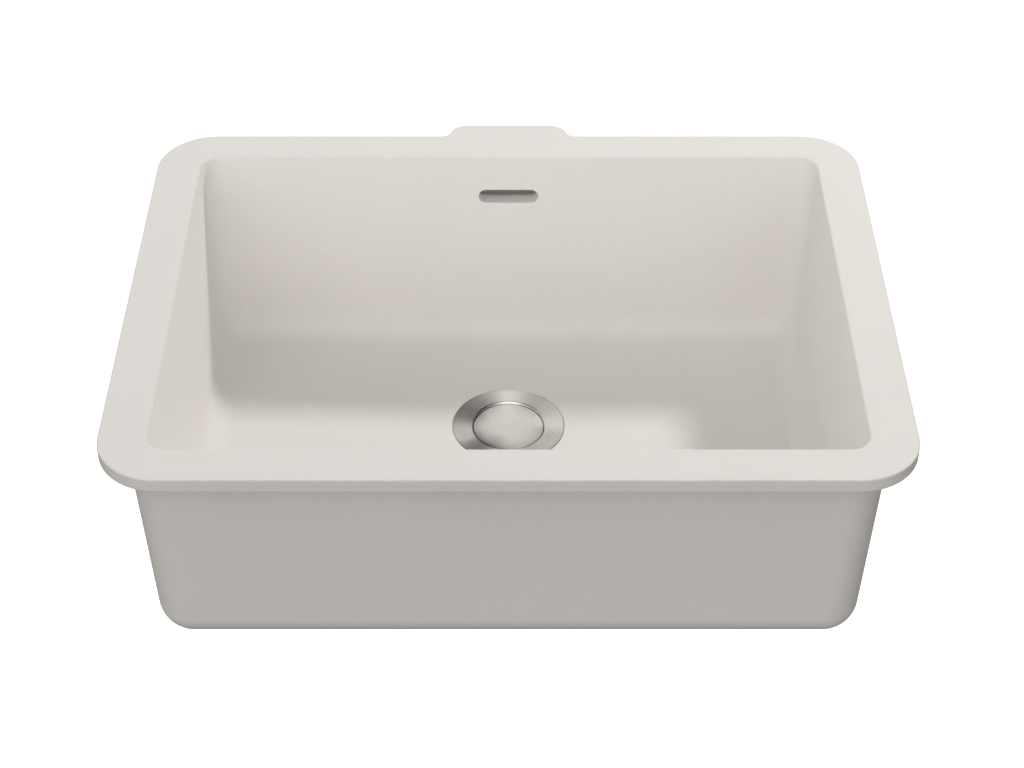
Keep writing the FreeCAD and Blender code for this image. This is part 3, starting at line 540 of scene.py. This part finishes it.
def elbow():
    zc, yc, R = INLET_Z, PIPE_Y, 16.0
    leg = ELBOW_LEG

    def at(s):
        """Point on the axis and the in-plane normal, s from the upper end."""
        if s <= leg - R:
            return np.array([0, yc, zc + leg - s]), np.array([0, 1.0, 0])
        arc = R * math.pi / 2
        if s <= leg - R + arc:
            a = (s - (leg - R)) / R
            return np.array([0, yc - R + R * math.cos(a), zc + R - R * math.sin(a)]), np.array([0, math.cos(a), -math.sin(a)])
        d = s - (leg - R) - arc
        return np.array([0, yc - R - d, zc]), np.array([0, 0, -1.0])

    total = 2 * (leg - R) + R * math.pi / 2
    a, b = leg - R, total - (leg - R)
    ring = [(0.0, 13.2), (0.6, 14.0)]

    def threads(s0, s1):
        out, k = [], 0
        for s in np.arange(s0, s1, 0.3):
            c = 0.5 - 0.5 * math.cos(2 * math.pi * s / 2.4)
            out.append((s, 14.0 - 0.7 * min(1.0, 1.35 * c)))
        return out
    ring += threads(1.2, a - 3.8)
    ring += [(a - 3.4, 14.0), (a - 3.0, 14.0), (a - 3.0, 15.2), (a - 2.6, 15.6), (a - 0.4, 15.6), (a, 15.2), (a, 14.3), (a + 0.4, 14.0)]
    ring += [(s, 14.0) for s in np.linspace(a + 1.2, b - 1.2, 22)]
    ring += [(b - 0.4, 14.0), (b, 14.3), (b, 15.2), (b + 0.4, 15.6), (b + 2.6, 15.6), (b + 3.0, 15.2), (b + 3.0, 14.0), (b + 3.4, 14.0)]
    ring += [(total - s, r) for s, r in threads(1.2, a - 3.8)[::-1]]
    ring += [(total - 0.6, 14.0), (total, 13.2), (total, 11.4), (total - 0.35, 11.05), (total - 12.0, 11.05), (total - 12.0, 9.4)]
    ring += [(s, 9.4) for s in np.linspace(b - 0.2, a + 0.2, 24)]
    ring += [(12.0, 9.4), (12.0, 11.05), (0.35, 11.05), (0.0, 11.4)]
    seg, verts, faces = 72, [], []
    for s, r in ring:
        o, n2 = at(s)
        for i in range(seg):
            t = 2 * math.pi * i / seg
            verts.append(tuple(o + r * (math.cos(t) * np.array([1.0, 0, 0]) + math.sin(t) * n2)))
    m = len(ring)
    for k in range(m):
        k2 = (k + 1) % m
        for i in range(seg):
            j = (i + 1) % seg
            faces.append((k * seg + i, k * seg + j, k2 * seg + j, k2 * seg + i))
    return shade(new_object("overflow_bend", verts, faces), 34.0)


def union_nuts():
    spots = [((0, PIPE_Y, -112.0), (0, 0, -1)), ((0, PIPE_Y, INLET_Z + ELBOW_LEG), (0, 0, 1)),
             ((0, PIPE_Y - ELBOW_LEG, INLET_Z), (0, -1, 0)), ((0, DRAIN_Y + 72.0, INLET_Z), (0, 1, 0))]
    z0, z1, z2 = -11.5, 4.0, 7.0
    prof = [(14.15, z0, 0.3), (19.0, z0, 0.5)] + [(19.0, z) for z in (-9.8, -9.5, -9.2, -8.8, -8.2, -4.0, 0.0, 1.4, 2.0, 2.4, 2.7)]
    prof += [(19.0, 3.0, 0.6), (15.8, z2, 0.6), (11.25, z2, 0.3), (11.25, z1), (14.15, z1)]

    def radial(r, z, a):
        if r < 18.9 or z < -9.6 or z > 3.0:
            return r
        k = 2 * math.pi / 16
        d = 19.0 * math.sin((a + k / 2) % k - k / 2)
        if abs(d) > 1.39:
            return r
        grow = min(1.0, (z + 9.6) / 1.2) if z < 2.0 else max(0.0, (2.8 - z) / 0.8)
        return r - (math.sqrt(2.25 - d * d) - 0.55) * max(0.0, grow) ** 0.5

    out = []
    for k, (o, d) in enumerate(spots):
        v, f = lathe_mesh(rounded(prof, 3), 256, cy=0.0, radial=radial)
        q = Vector((0, 0, 1)).rotation_difference(Vector(d)) if d != (0, 0, -1) else Matrix.Rotation(math.pi, 3, "X").to_quaternion()
        v = [tuple(q @ Vector(p) + Vector(o)) for p in v]
        out.append(shade(new_object("union_nut_%d" % (k + 1), v, f), 38.0))
    return out


def overflow_cover():
    top, mid, low = SLOT_Z + 14.5, SLOT_Z - 16.0, -92.0
    y0, y1, w = 237.0, 273.0, 2.4
    plate_y0, plate_y1 = 236.0, 240.0

    def loft(name, levels, n=8):
        verts, faces = [], []
        for hx, hy, r, cy, z in levels:
            pts = rounded([(-hx, cy - hy, r), (hx, cy - hy, r), (hx, cy + hy, r), (-hx, cy + hy, r)], n)
            k = len(pts)
            verts += [(x, y, z) for x, y in pts]
        for lv in range(len(levels) - 1):
            for i in range(k):
                j = (i + 1) % k
                faces.append((lv * k + i, lv * k + j, (lv + 1) * k + j, (lv + 1) * k + i))
        faces.append(tuple(range(k - 1, -1, -1)))
        faces.append(tuple(range((len(levels) - 1) * k, len(levels) * k)))
        return new_object(name, verts, faces)

    cy, hy = (y0 + y1) / 2, (y1 - y0) / 2
    levels = []
    for t in np.linspace(0, 90, 9):
        s = math.radians(t)
        off = 5.0 * (1 - math.sin(s))
        levels.append((34.0 - off, hy - off, 7.0 - off, cy, top - 5.0 * (1 - math.cos(s))))
    # a small radius where the box turns into the funnel
    levels += [(34.0, hy, 7.0, cy, mid + 1.5), (33.7, hy - 0.12, 7.05, cy + 0.02, mid + 0.2)]
    for f in (0.08, 0.35, 0.7, 1.0):
        levels.append((34.0 + (15.5 - 34.0) * f, hy + (15.5 - hy) * f, 7.0 + 4.0 * f, cy + (PIPE_Y - cy) * f, mid + (low - mid) * f))
    body = loft("overflow_shell", levels[::-1])

    def upright(points, a, b, name):
        mat = Matrix(((1, 0, 0, 0), (0, 0, 1, 0), (0, 1, 0, 0), (0, 0, 0, 1)))
        return prism(name, points, a, b, mat)

    # the plate has a small bevel round its back edge
    def plate_outline(o):
        hx, hz = 44.0 - o, 26.0 - o
        return rounded([(-hx, SLOT_Z - hz, 8.0 - o), (hx, SLOT_Z - hz, 8.0 - o), (hx, SLOT_Z + hz, 8.0 - o), (-hx, SLOT_Z + hz, 8.0 - o)], 8)
    verts, faces = [], []
    steps = [(0.3, plate_y0), (0.0, plate_y0 + 0.3), (0.0, plate_y1 - 0.7), (0.2, plate_y1 - 0.2), (0.7, plate_y1)]
    for o, y in steps:
        pts = plate_outline(o)
        k = len(pts)
        verts += [(x, y, z) for x, z in pts]
    for lv in range(len(steps) - 1):
        for i in range(k):
            j = (i + 1) % k
            faces.append((lv * k + i, lv * k + j, (lv + 1) * k + j, (lv + 1) * k + i))
    faces.append(tuple(range(k - 1, -1, -1)))
    faces.append(tuple(range((len(steps) - 1) * k, len(steps) * k)))
    plate = new_object("plate", verts, faces)
    v, f = lathe_mesh(rounded([(0, low + 1.3), (17.0, low + 1.3, 0.5), (17.0, low - 5.0, 0.8), (14.0, low - 5.0), ] +
                              [(14.0, z) for z in np.arange(low - 5.3, -111.3, -0.3)] + [(13.2, -112.0), (0, -112.0)], 3), 96,
                      cy=PIPE_Y, radial=helix(14.0, 2.4, 0.7, -112.0, low - 6.0))
    spigot = new_object("spigot", v, f)
    ribs = []
    for x in (-24.0, 24.0):
        pts = rounded([(y1 - 0.5, mid + 4), (y1 + 3.0, mid + 4, 1.0), (y1 + 3.0, top - 8, 1.0), (y1 - 0.5, top - 4)], 3)
        mat = Matrix(((0, 0, 1, x - 1.2), (1, 0, 0, 0), (0, 1, 0, 0), (0, 0, 0, 1)))
        ribs.append(prism("stiffener", pts, 0.0, 2.4, mat))
    boolean(body, [plate, spigot] + ribs, "UNION")
    iy0, iy1 = plate_y1, y1 - w
    fy0 = iy0 + 1.4
    inside = loft("inside", [(10.0, 10.0, 7.0, PIPE_Y, low - 0.5), (34.0 - w, (iy1 - fy0) / 2, 5.0, (iy1 + fy0) / 2, mid),
                             (34.0 - w, (iy1 - iy0) / 2, 5.0, (iy1 + iy0) / 2, mid + 0.01), (34.0 - w, (iy1 - iy0) / 2, 5.0, (iy1 + iy0) / 2, top - w)], 6)
    cutters = [inside]
    for r, a, b in ((PIPE_BORE_R, low + 2.0, -113.0), (PIPE_R + 0.05, -100.0, -113.5)):
        circle = [(r * math.cos(t), PIPE_Y + r * math.sin(t)) for t in np.linspace(0, 2 * math.pi, 61)[:-1]]
        cutters.append(prism("bore", circle, b, a))
    a_, r_ = 32.0 - 9.5, 9.5
    window = []
    for side in (1, -1):
        for k_ in range(17):
            t = math.radians(-90 + 180 * k_ / 16)
            window.append((side * (a_ + r_ * math.cos(t)), SLOT_Z + side * r_ * math.sin(t)))
    cutters.append(upright(window, plate_y0 - 1, plate_y1 + 1.2, "window"))
    for x, z in INSERTS:
        circle = [(x + 2.2 * math.cos(t), z + 2.2 * math.sin(t)) for t in np.linspace(0, 2 * math.pi, 25)[:-1]]
        cutters.append(upright(circle, plate_y0 - 1, plate_y1 + 1, "screw_hole"))
    boolean(body, cutters)
    return shade(body, 34.0)


# ---------------------------------------------------------------- materials
def material(name):
    m = bpy.data.materials.new(name)
    m.use_nodes = True
    nt = m.node_tree
    nt.nodes.clear()
    out = nt.nodes.new("ShaderNodeOutputMaterial")
    b = nt.nodes.new("ShaderNodeBsdfPrincipled")
    nt.links.new(b.outputs[0], out.inputs[0])
    return m, nt, b


def noise(nt, co, scale, detail=2.0, rough=0.5, stretch=None):
    if stretch:
        mp = nt.nodes.new("ShaderNodeMapping")
        mp.inputs["Scale"].default_value = stretch
        nt.links.new(co, mp.inputs["Vector"])
        co = mp.outputs[0]
    n = nt.nodes.new("ShaderNodeTexNoise")
    n.inputs["Scale"].default_value = scale
    n.inputs["Detail"].default_value = detail
    n.inputs["Roughness"].default_value = rough
    nt.links.new(co, n.inputs["Vector"])
    return n.outputs["Fac"]


def ramp(nt, fac, stops):
    r = nt.nodes.new("ShaderNodeValToRGB")
    e = r.color_ramp.elements
    while len(e) < len(stops):
        e.new(0.5)
    for k, (p, c) in enumerate(stops):
        e[k].position = p
        e[k].color = (c[0], c[1], c[2], 1) if hasattr(c, "__len__") else (c, c, c, 1)
    nt.links.new(fac, r.inputs[0])
    return r.outputs[0]


def spread(nt, fac, low, high, lo=0.35, hi=0.65):
    m = nt.nodes.new("ShaderNodeMapRange")
    m.inputs["From Min"].default_value = lo
    m.inputs["From Max"].default_value = hi
    m.inputs["To Min"].default_value = low
    m.inputs["To Max"].default_value = high
    nt.links.new(fac, m.inputs["Value"])
    return m.outputs[0]


def bump(nt, height, strength, distance, b):
    n = nt.nodes.new("ShaderNodeBump")
    n.inputs["Strength"].default_value = strength
    n.inputs["Distance"].default_value = distance
    nt.links.new(height, n.inputs["Height"])
    nt.links.new(n.outputs[0], b.inputs["Normal"])


def position(nt):
    return nt.nodes.new("ShaderNodeTexCoord").outputs["Object"]


def scaled(c, k):
    return tuple(x * k for x in c)


def composite_material():
    m, nt, b = material("cast_composite")
    co = position(nt)
    base = COMPOSITE
    fine = noise(nt, co, 900.0, 2.0, 0.6)
    c1 = ramp(nt, fine, [(0.3, scaled(base, 0.965)), (0.5, base), (0.72, scaled(base, 1.03))])
    broad = noise(nt, co, 9.0, 2.0, 0.5)
    mix = nt.nodes.new("ShaderNodeMix")
    mix.data_type, mix.blend_type = "RGBA", "MULTIPLY"
    mix.inputs["Factor"].default_value = 1.0
    c2 = ramp(nt, broad, [(0.3, 0.985), (0.7, 1.0)])
    nt.links.new(c1, mix.inputs[6])
    nt.links.new(c2, mix.inputs[7])
    nt.links.new(mix.outputs[2], b.inputs["Base Color"])
    nt.links.new(spread(nt, noise(nt, co, 60.0, 3.0), COMPOSITE_ROUGH - 0.04, COMPOSITE_ROUGH + 0.04), b.inputs["Roughness"])
    b.inputs["IOR"].default_value = 1.48
    bump(nt, noise(nt, co, 650.0, 3.0, 0.65), 0.25, 0.00012, b)
    return m


# painted reflection: how the drain's steel colour is brightened and darkened round the drain, light and dark fans
# standing in for reflections, every 10 degrees from +X towards the back: on the flange, then near the cap's edge
FLANGE_PAINTED_REFLECTION = [1.0, 0.96, 0.85, 0.74, 0.69, 0.62, 0.66, 0.78, 0.94, 1.0, 0.89, 0.67, 0.48, 0.36, 0.30, 0.26, 0.29, 0.41,
               0.64, 0.77, 0.79, 0.60, 0.35, 0.30, 0.42, 0.62, 0.78, 0.86, 0.80, 0.70, 0.66, 0.70, 0.76, 0.77, 0.78, 0.89]
CAP_PAINTED_REFLECTION = [0.86, 1.0, 1.0, 0.89, 0.82, 0.78, 0.76, 0.85, 0.94, 1.0, 0.92, 0.77, 0.66, 0.60, 0.48, 0.37, 0.42, 0.50,
            0.58, 0.50, 0.36, 0.29, 0.22, 0.18, 0.20, 0.30, 0.45, 0.60, 0.70, 0.74, 0.72, 0.70, 0.70, 0.70, 0.68, 0.70]


def math_node(nt, kind, a, b=0.0, clamp=False):
    n = nt.nodes.new("ShaderNodeMath")
    n.operation = kind
    n.use_clamp = clamp
    for i, v in enumerate((a, b)):
        if isinstance(v, (int, float)):
            n.inputs[i].default_value = v
        else:
            nt.links.new(v, n.inputs[i])
    return n.outputs[0]


def painted_fans(nt, radius, angle, x, y):
    """Painted reflection: how bright the steel's colour is made over the drain's top, light and dark fans standing in
    for reflections, from the radius (m) and the angle about its axis.
    """
    turn = math_node(nt, "FRACT", math_node(nt, "ADD", math_node(nt, "DIVIDE", angle, 2 * math.pi), 1.0))

    def curve(values):
        c = nt.nodes.new("ShaderNodeFloatCurve")
        pts = c.mapping.curves[0].points
        k = len(values)
        where = [(i / k, values[i % k]) for i in range(k + 1)]
        while len(pts) < len(where):
            pts.new(0.5, 0.5)
        for q, (u, v) in zip(pts, where):
            q.location = (u, v)
            q.handle_type = "AUTO"
        c.mapping.update()
        nt.links.new(turn, c.inputs["Value"])
        return c.outputs[0]
    outer, inner = curve(FLANGE_PAINTED_REFLECTION), curve(CAP_PAINTED_REFLECTION)
    # the cap's painted reflection fans fade towards its centre, and a painted dark reflection keeps its lower left
    # darker further in
    fade = math_node(nt, "POWER", math_node(nt, "DIVIDE", math_node(nt, "SUBTRACT", radius, 0.010), 0.0245, True), 2.2)
    cap = math_node(nt, "ADD", math_node(nt, "MULTIPLY", math_node(nt, "SUBTRACT", inner, 1.0), fade), 1.0)
    # painted dark reflection: a dark pool round a point at the cap's lower left
    dx = math_node(nt, "POWER", math_node(nt, "ADD", x, 0.0205), 2.0)
    dy = math_node(nt, "POWER", math_node(nt, "ADD", y, 0.0305), 2.0)
    painted_dark_pool = math_node(nt, "DIVIDE", math_node(nt, "SQRT", math_node(nt, "ADD", dx, dy)), 0.024, True)
    painted_dark_pool = math_node(nt, "ADD", math_node(nt, "MULTIPLY", math_node(nt, "POWER", painted_dark_pool, 1.5), 0.55), 0.45)
    cap = math_node(nt, "MINIMUM", cap, painted_dark_pool)
    on_flange = math_node(nt, "GREATER_THAN", radius, 0.03555)
    return math_node(nt, "ADD", math_node(nt, "MULTIPLY", outer, on_flange),
                     math_node(nt, "MULTIPLY", cap, math_node(nt, "SUBTRACT", 1.0, on_flange)))


def turned_steel(name, base=0.62, rough=0.27, lines=0.05, aniso=0.75, radial=True, tint=(1.0, 0.997, 0.992), paint_reflection=False):
    """Brushed steel: fine rings round the vertical axis of the piece where radial, plain grain where not, and, when
    asked, light and dark reflection fans painted into its colour round the drain.
    """
    m, nt, b = material(name)
    co = nt.nodes.new("ShaderNodeTexCoord").outputs["Object"]
    if radial:
        # distance from the drain axis, so that the lines are rings
        mp = nt.nodes.new("ShaderNodeVectorMath")
        mp.operation = "SUBTRACT"
        mp.inputs[1].default_value = (0.0, DRAIN_Y * MM, 0.0)
        nt.links.new(co, mp.inputs[0])
        flat_ = nt.nodes.new("ShaderNodeVectorMath")
        flat_.operation = "MULTIPLY"
        flat_.inputs[1].default_value = (1.0, 1.0, 0.0)
        nt.links.new(mp.outputs[0], flat_.inputs[0])
        ln = nt.nodes.new("ShaderNodeVectorMath")
        ln.operation = "LENGTH"
        nt.links.new(flat_.outputs[0], ln.inputs[0])
        sep = nt.nodes.new("ShaderNodeSeparateXYZ")
        nt.links.new(mp.outputs[0], sep.inputs[0])
        ang = nt.nodes.new("ShaderNodeMath")
        ang.operation = "ARCTAN2"
        nt.links.new(sep.outputs[1], ang.inputs[0])
        nt.links.new(sep.outputs[0], ang.inputs[1])
        cb = nt.nodes.new("ShaderNodeCombineXYZ")
        nt.links.new(ln.outputs["Value"], cb.inputs[0])
        k = nt.nodes.new("ShaderNodeMath")
        k.operation = "SINE"
        nt.links.new(ang.outputs[0], k.inputs[0])
        k2 = nt.nodes.new("ShaderNodeMath")
        k2.operation = "MULTIPLY"
        k2.inputs[1].default_value = 0.0008
        nt.links.new(k.outputs[0], k2.inputs[0])
        nt.links.new(k2.outputs[0], cb.inputs[1])
        nt.links.new(sep.outputs[2], cb.inputs[2])
        grain = noise(nt, cb.outputs[0], 2600.0, 3.0, 0.7)
    else:
        grain = noise(nt, co, 1500.0, 3.0, 0.6, (1.0, 1.0, 0.08))
    col = ramp(nt, grain, [(0.3, scaled(tint, base * (1 - lines))), (0.7, scaled(tint, base * (1 + lines)))])
    # painted reflection: the fans scale the steel's base colour
    if paint_reflection:
        painted_reflection_tone = painted_fans(nt, ln.outputs["Value"], ang.outputs[0], sep.outputs[0], sep.outputs[1])
        mix = nt.nodes.new("ShaderNodeVectorMath")
        mix.operation = "SCALE"
        nt.links.new(col, mix.inputs[0])
        nt.links.new(painted_reflection_tone, mix.inputs["Scale"])
        col = mix.outputs[0]
    nt.links.new(col, b.inputs["Base Color"])
    nt.links.new(spread(nt, grain, rough - 0.03, rough + 0.03), b.inputs["Roughness"])
    b.inputs["Metallic"].default_value = 1.0
    if radial:
        b.inputs["Anisotropic"].default_value = aniso
        t = nt.nodes.new("ShaderNodeTangent")
        t.direction_type = "RADIAL"
        t.axis = "Z"
        nt.links.new(t.outputs[0], b.inputs["Tangent"])
    return m


def moulded(name, colour, rough=0.45, vary=0.06, grain=900.0, depth=0.00004, spec=0.5, milky=0.0):
    m, nt, b = material(name)
    co = position(nt)
    n = noise(nt, co, 120.0, 3.0)
    nt.links.new(ramp(nt, n, [(0.3, scaled(colour, 1 - vary)), (0.7, scaled(colour, 1 + vary))]), b.inputs["Base Color"])
    nt.links.new(spread(nt, noise(nt, co, 300.0, 2.0), rough - 0.05, rough + 0.05), b.inputs["Roughness"])
    b.inputs["Specular IOR Level"].default_value = spec
    if milky:
        b.inputs["Subsurface Weight"].default_value = 1.0
        b.inputs["Subsurface Radius"].default_value = (1.0, 1.0, 1.0)
        b.inputs["Subsurface Scale"].default_value = milky
    bump(nt, noise(nt, co, grain, 2.0), 0.2, depth, b)
    return m


def metal(name, colour, rough, vary=0.05, grain=700.0):
    m, nt, b = material(name)
    co = position(nt)
    n = noise(nt, co, grain, 3.0, 0.6)
    nt.links.new(ramp(nt, n, [(0.3, scaled(colour, 1 - vary)), (0.7, scaled(colour, 1 + vary))]), b.inputs["Base Color"])
    nt.links.new(spread(nt, n, rough - 0.04, rough + 0.04), b.inputs["Roughness"])
    b.inputs["Metallic"].default_value = 1.0
    return m


COMPOSITE = (0.933, 0.919, 0.899)
COMPOSITE_ROUGH = 0.5

MATS = {
    "composite": composite_material(),
    # the drain's steel has light and dark reflection fans painted into its colour
    "drain_steel": turned_steel("turned_steel", 0.95, 0.26, 0.04, 0.3, paint_reflection=True),
    "basket_steel": turned_steel("pressed_steel", 0.6, 0.3, 0.04, 0.4),
    "zinc_steel": metal("zinc_steel", (0.62, 0.63, 0.64), 0.34),
    "spring_steel": metal("spring_steel", (0.55, 0.55, 0.56), 0.3),
    "brass": metal("brass", (0.72, 0.52, 0.24), 0.3),
    "waste_plastic": moulded("waste_plastic", (0.022, 0.023, 0.025), 0.42),
    "overflow_plastic": moulded("overflow_plastic", (0.87, 0.86, 0.835), 0.42, 0.03, milky=0.006),
    "pipe_plastic": moulded("pipe_plastic", (0.17, 0.175, 0.18), 0.38, 0.04),
    "nut_plastic": moulded("nut_plastic", (0.016, 0.017, 0.018), 0.4),
    "click_plastic": moulded("click_plastic", (0.7, 0.69, 0.66), 0.4, 0.03),
    "rubber_black": moulded("rubber_black", (0.012, 0.012, 0.012), 0.62, 0.1, 1200.0, 0.00006, 0.35),
}


def finish_of(ob, slot):
    ob.data.materials.clear()
    ob.data.materials.append(MATS[slot])
    return ob


NODE_SLOT = {p["node"]: p["material_slot"] for p in frame["record"]["subparts"]}

BODY_OF = {n: b for b, names in frame["record"]["behaviour"]["bodies"].items() for n in names}

for node, ob in frame["nodes"].items():
    finish_of(ob, NODE_SLOT[node])


def stand_for(node, *pieces):
    """Own pieces shown in place of a CAD node, on the same body and with its finish."""
    for p in pieces:
        finish_of(p, NODE_SLOT[node])
        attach(p, BODY_OF[node])
    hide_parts(node)


stand_for("sink_bowl", sink_bowl())
stand_for("strainer_cup", strainer_cup())
stand_for("plug_cap", plug_cap())
stand_for("waste_body", waste_body())
for extra in ("waste_inlet", "waste_tail", "waste_bridge"):
    if extra in frame["nodes"]:
        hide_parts(extra)
stand_for("overflow_elbow", elbow())
stand_for("compression_nuts", *union_nuts())
stand_for("overflow_housing", overflow_cover())

# the click spring stands on the screw; a copy of its mesh takes its place, with its finish
wound = frame["nodes"]["lifter_spring"]
bpy.context.view_layer.update()
me = wound.data.copy()
me.transform(wound.matrix_world)
coil = bpy.data.objects.new("spring_coil", me)
bpy.context.scene.collection.objects.link(coil)
finish_of(coil, NODE_SLOT["lifter_spring"])
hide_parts("lifter_spring")
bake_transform(coil)

# ---------------------------------------------------------------- floor, light, camera
FLOOR_LEVEL = -3.0
me = bpy.data.meshes.new("ground")
# the floor, and behind everything the same white up to a ceiling, so a low view has no horizon
me.from_pydata([(x, y, z) for z in (FLOOR_LEVEL, 30.0) for x, y in ((-30, -30), (30, -30), (30, 30), (-30, 30))], [],
               [(0, 1, 2, 3), (7, 6, 5, 4), (1, 0, 4, 5), (2, 1, 5, 6), (3, 2, 6, 7), (0, 3, 7, 4)])
ground = bpy.data.objects.new("ground", me)
bpy.context.scene.collection.objects.link(ground)
m, nt, b = material("ground_white")
nt.links.new(ramp(nt, noise(nt, position(nt), 3.0), [(0.3, 0.86), (0.7, 0.9)]), b.inputs["Base Color"])
b.inputs["Roughness"].default_value = 0.9
b.inputs["Emission Color"].default_value = (1, 1, 1, 1)
b.inputs["Emission Strength"].default_value = 0.95
me.materials.append(m)
ground.visible_diffuse = False
ground.visible_glossy = False
ground.visible_transmission = False
ground.visible_shadow = False

# the studio: soft light that differs with direction, most of it from the front and the left
world = bpy.data.worlds.new("studio")
bpy.context.scene.world = world
world.use_nodes = True
wt = world.node_tree
background = wt.nodes["Background"]
direction = wt.nodes.new("ShaderNodeSeparateXYZ")
wt.links.new(wt.nodes.new("ShaderNodeTexCoord").outputs["Generated"], direction.inputs[0])


def op(kind, a, b):
    n = wt.nodes.new("ShaderNodeMath")
    n.operation = kind
    for i, v in enumerate((a, b)):
        if isinstance(v, (int, float)):
            n.inputs[i].default_value = v
        else:
            wt.links.new(v, n.inputs[i])
    return n.outputs[0]


dx, dy, dz = direction.outputs
ahead = op("MAXIMUM", op("MULTIPLY", dy, -1.0), 0.0)
sky = op("ADD", op("MULTIPLY", op("POWER", ahead, 3.0), SKY["front"]), op("MULTIPLY", op("MULTIPLY", ahead, op("MAXIMUM", dz, 0.0)), SKY["front_high"]))
for axis, sign, side in ((dy, 1.0, "back"), (dx, 1.0, "right"), (dx, -1.0, "left")):
    sky = op("ADD", sky, op("MULTIPLY", op("MAXIMUM", op("MULTIPLY", axis, sign), 0.0), SKY[side]))
rise = wt.nodes.new("ShaderNodeMapRange")
rise.inputs["From Min"].default_value = -0.03
rise.inputs["From Max"].default_value = 0.03
wt.links.new(dz, rise.inputs["Value"])
fall = op("SUBTRACT", 1.0, rise.outputs[0])
wt.links.new(op("ADD", op("MULTIPLY", sky, rise.outputs[0]), op("MULTIPLY", fall, SKY["low"])), background.inputs[1])
background.inputs[0].default_value = WARM + (1,)


def area_light(name, towards, distance, size, power, colour=(1, 1, 1), shape="DISK", aim=(0.0, 0.0, -0.1)):
    d = Vector(towards).normalized()
    data = bpy.data.lights.new(name, "AREA")
    data.shape = shape
    data.size = size
    data.energy = power
    data.color = colour
    ob = bpy.data.objects.new(name, data)
    bpy.context.scene.collection.objects.link(ob)
    ob.location = Vector(aim) + d * distance
    ob.rotation_euler = d.to_track_quat("Z", "Y").to_euler()
    return ob


# as seen from the back rim and the right rim the key stands where the photo's shadow edges put it
KEY_AT = Vector((2.178, 2.302, 3.0))
key = area_light("key", KEY_AT, KEY_AT.length, 0.60, KEY, WARM, aim=(0.0, 0.0, 0.0))
key.visible_glossy = False
# a panel over the bowl that only shiny surfaces show, for the drain's rounded edge
panel = area_light("panel", (0.0, -0.36, 1.0), 1.25, 1.1, PANEL * math.pi * math.pi * 0.55 ** 2, WARM)
panel.visible_diffuse = False

cam = bpy.data.cameras.new("camera")
cam.sensor_width = 36.0
cam.lens = 2168.85 / 1024 * 36.0
cam.shift_x = 3.6 / 1024
cam.clip_end = 100.0
camera = bpy.data.objects.new("camera", cam)
bpy.context.scene.collection.objects.link(camera)
camera.location = (0.0, -1.6045, 1.2045)
camera.rotation_euler = (math.radians(50.637), 0.0, 0.0)
bpy.context.scene.camera = camera

bpy.context.scene.view_settings.view_transform = "Standard"
bpy.context.scene.view_settings.look = "None"
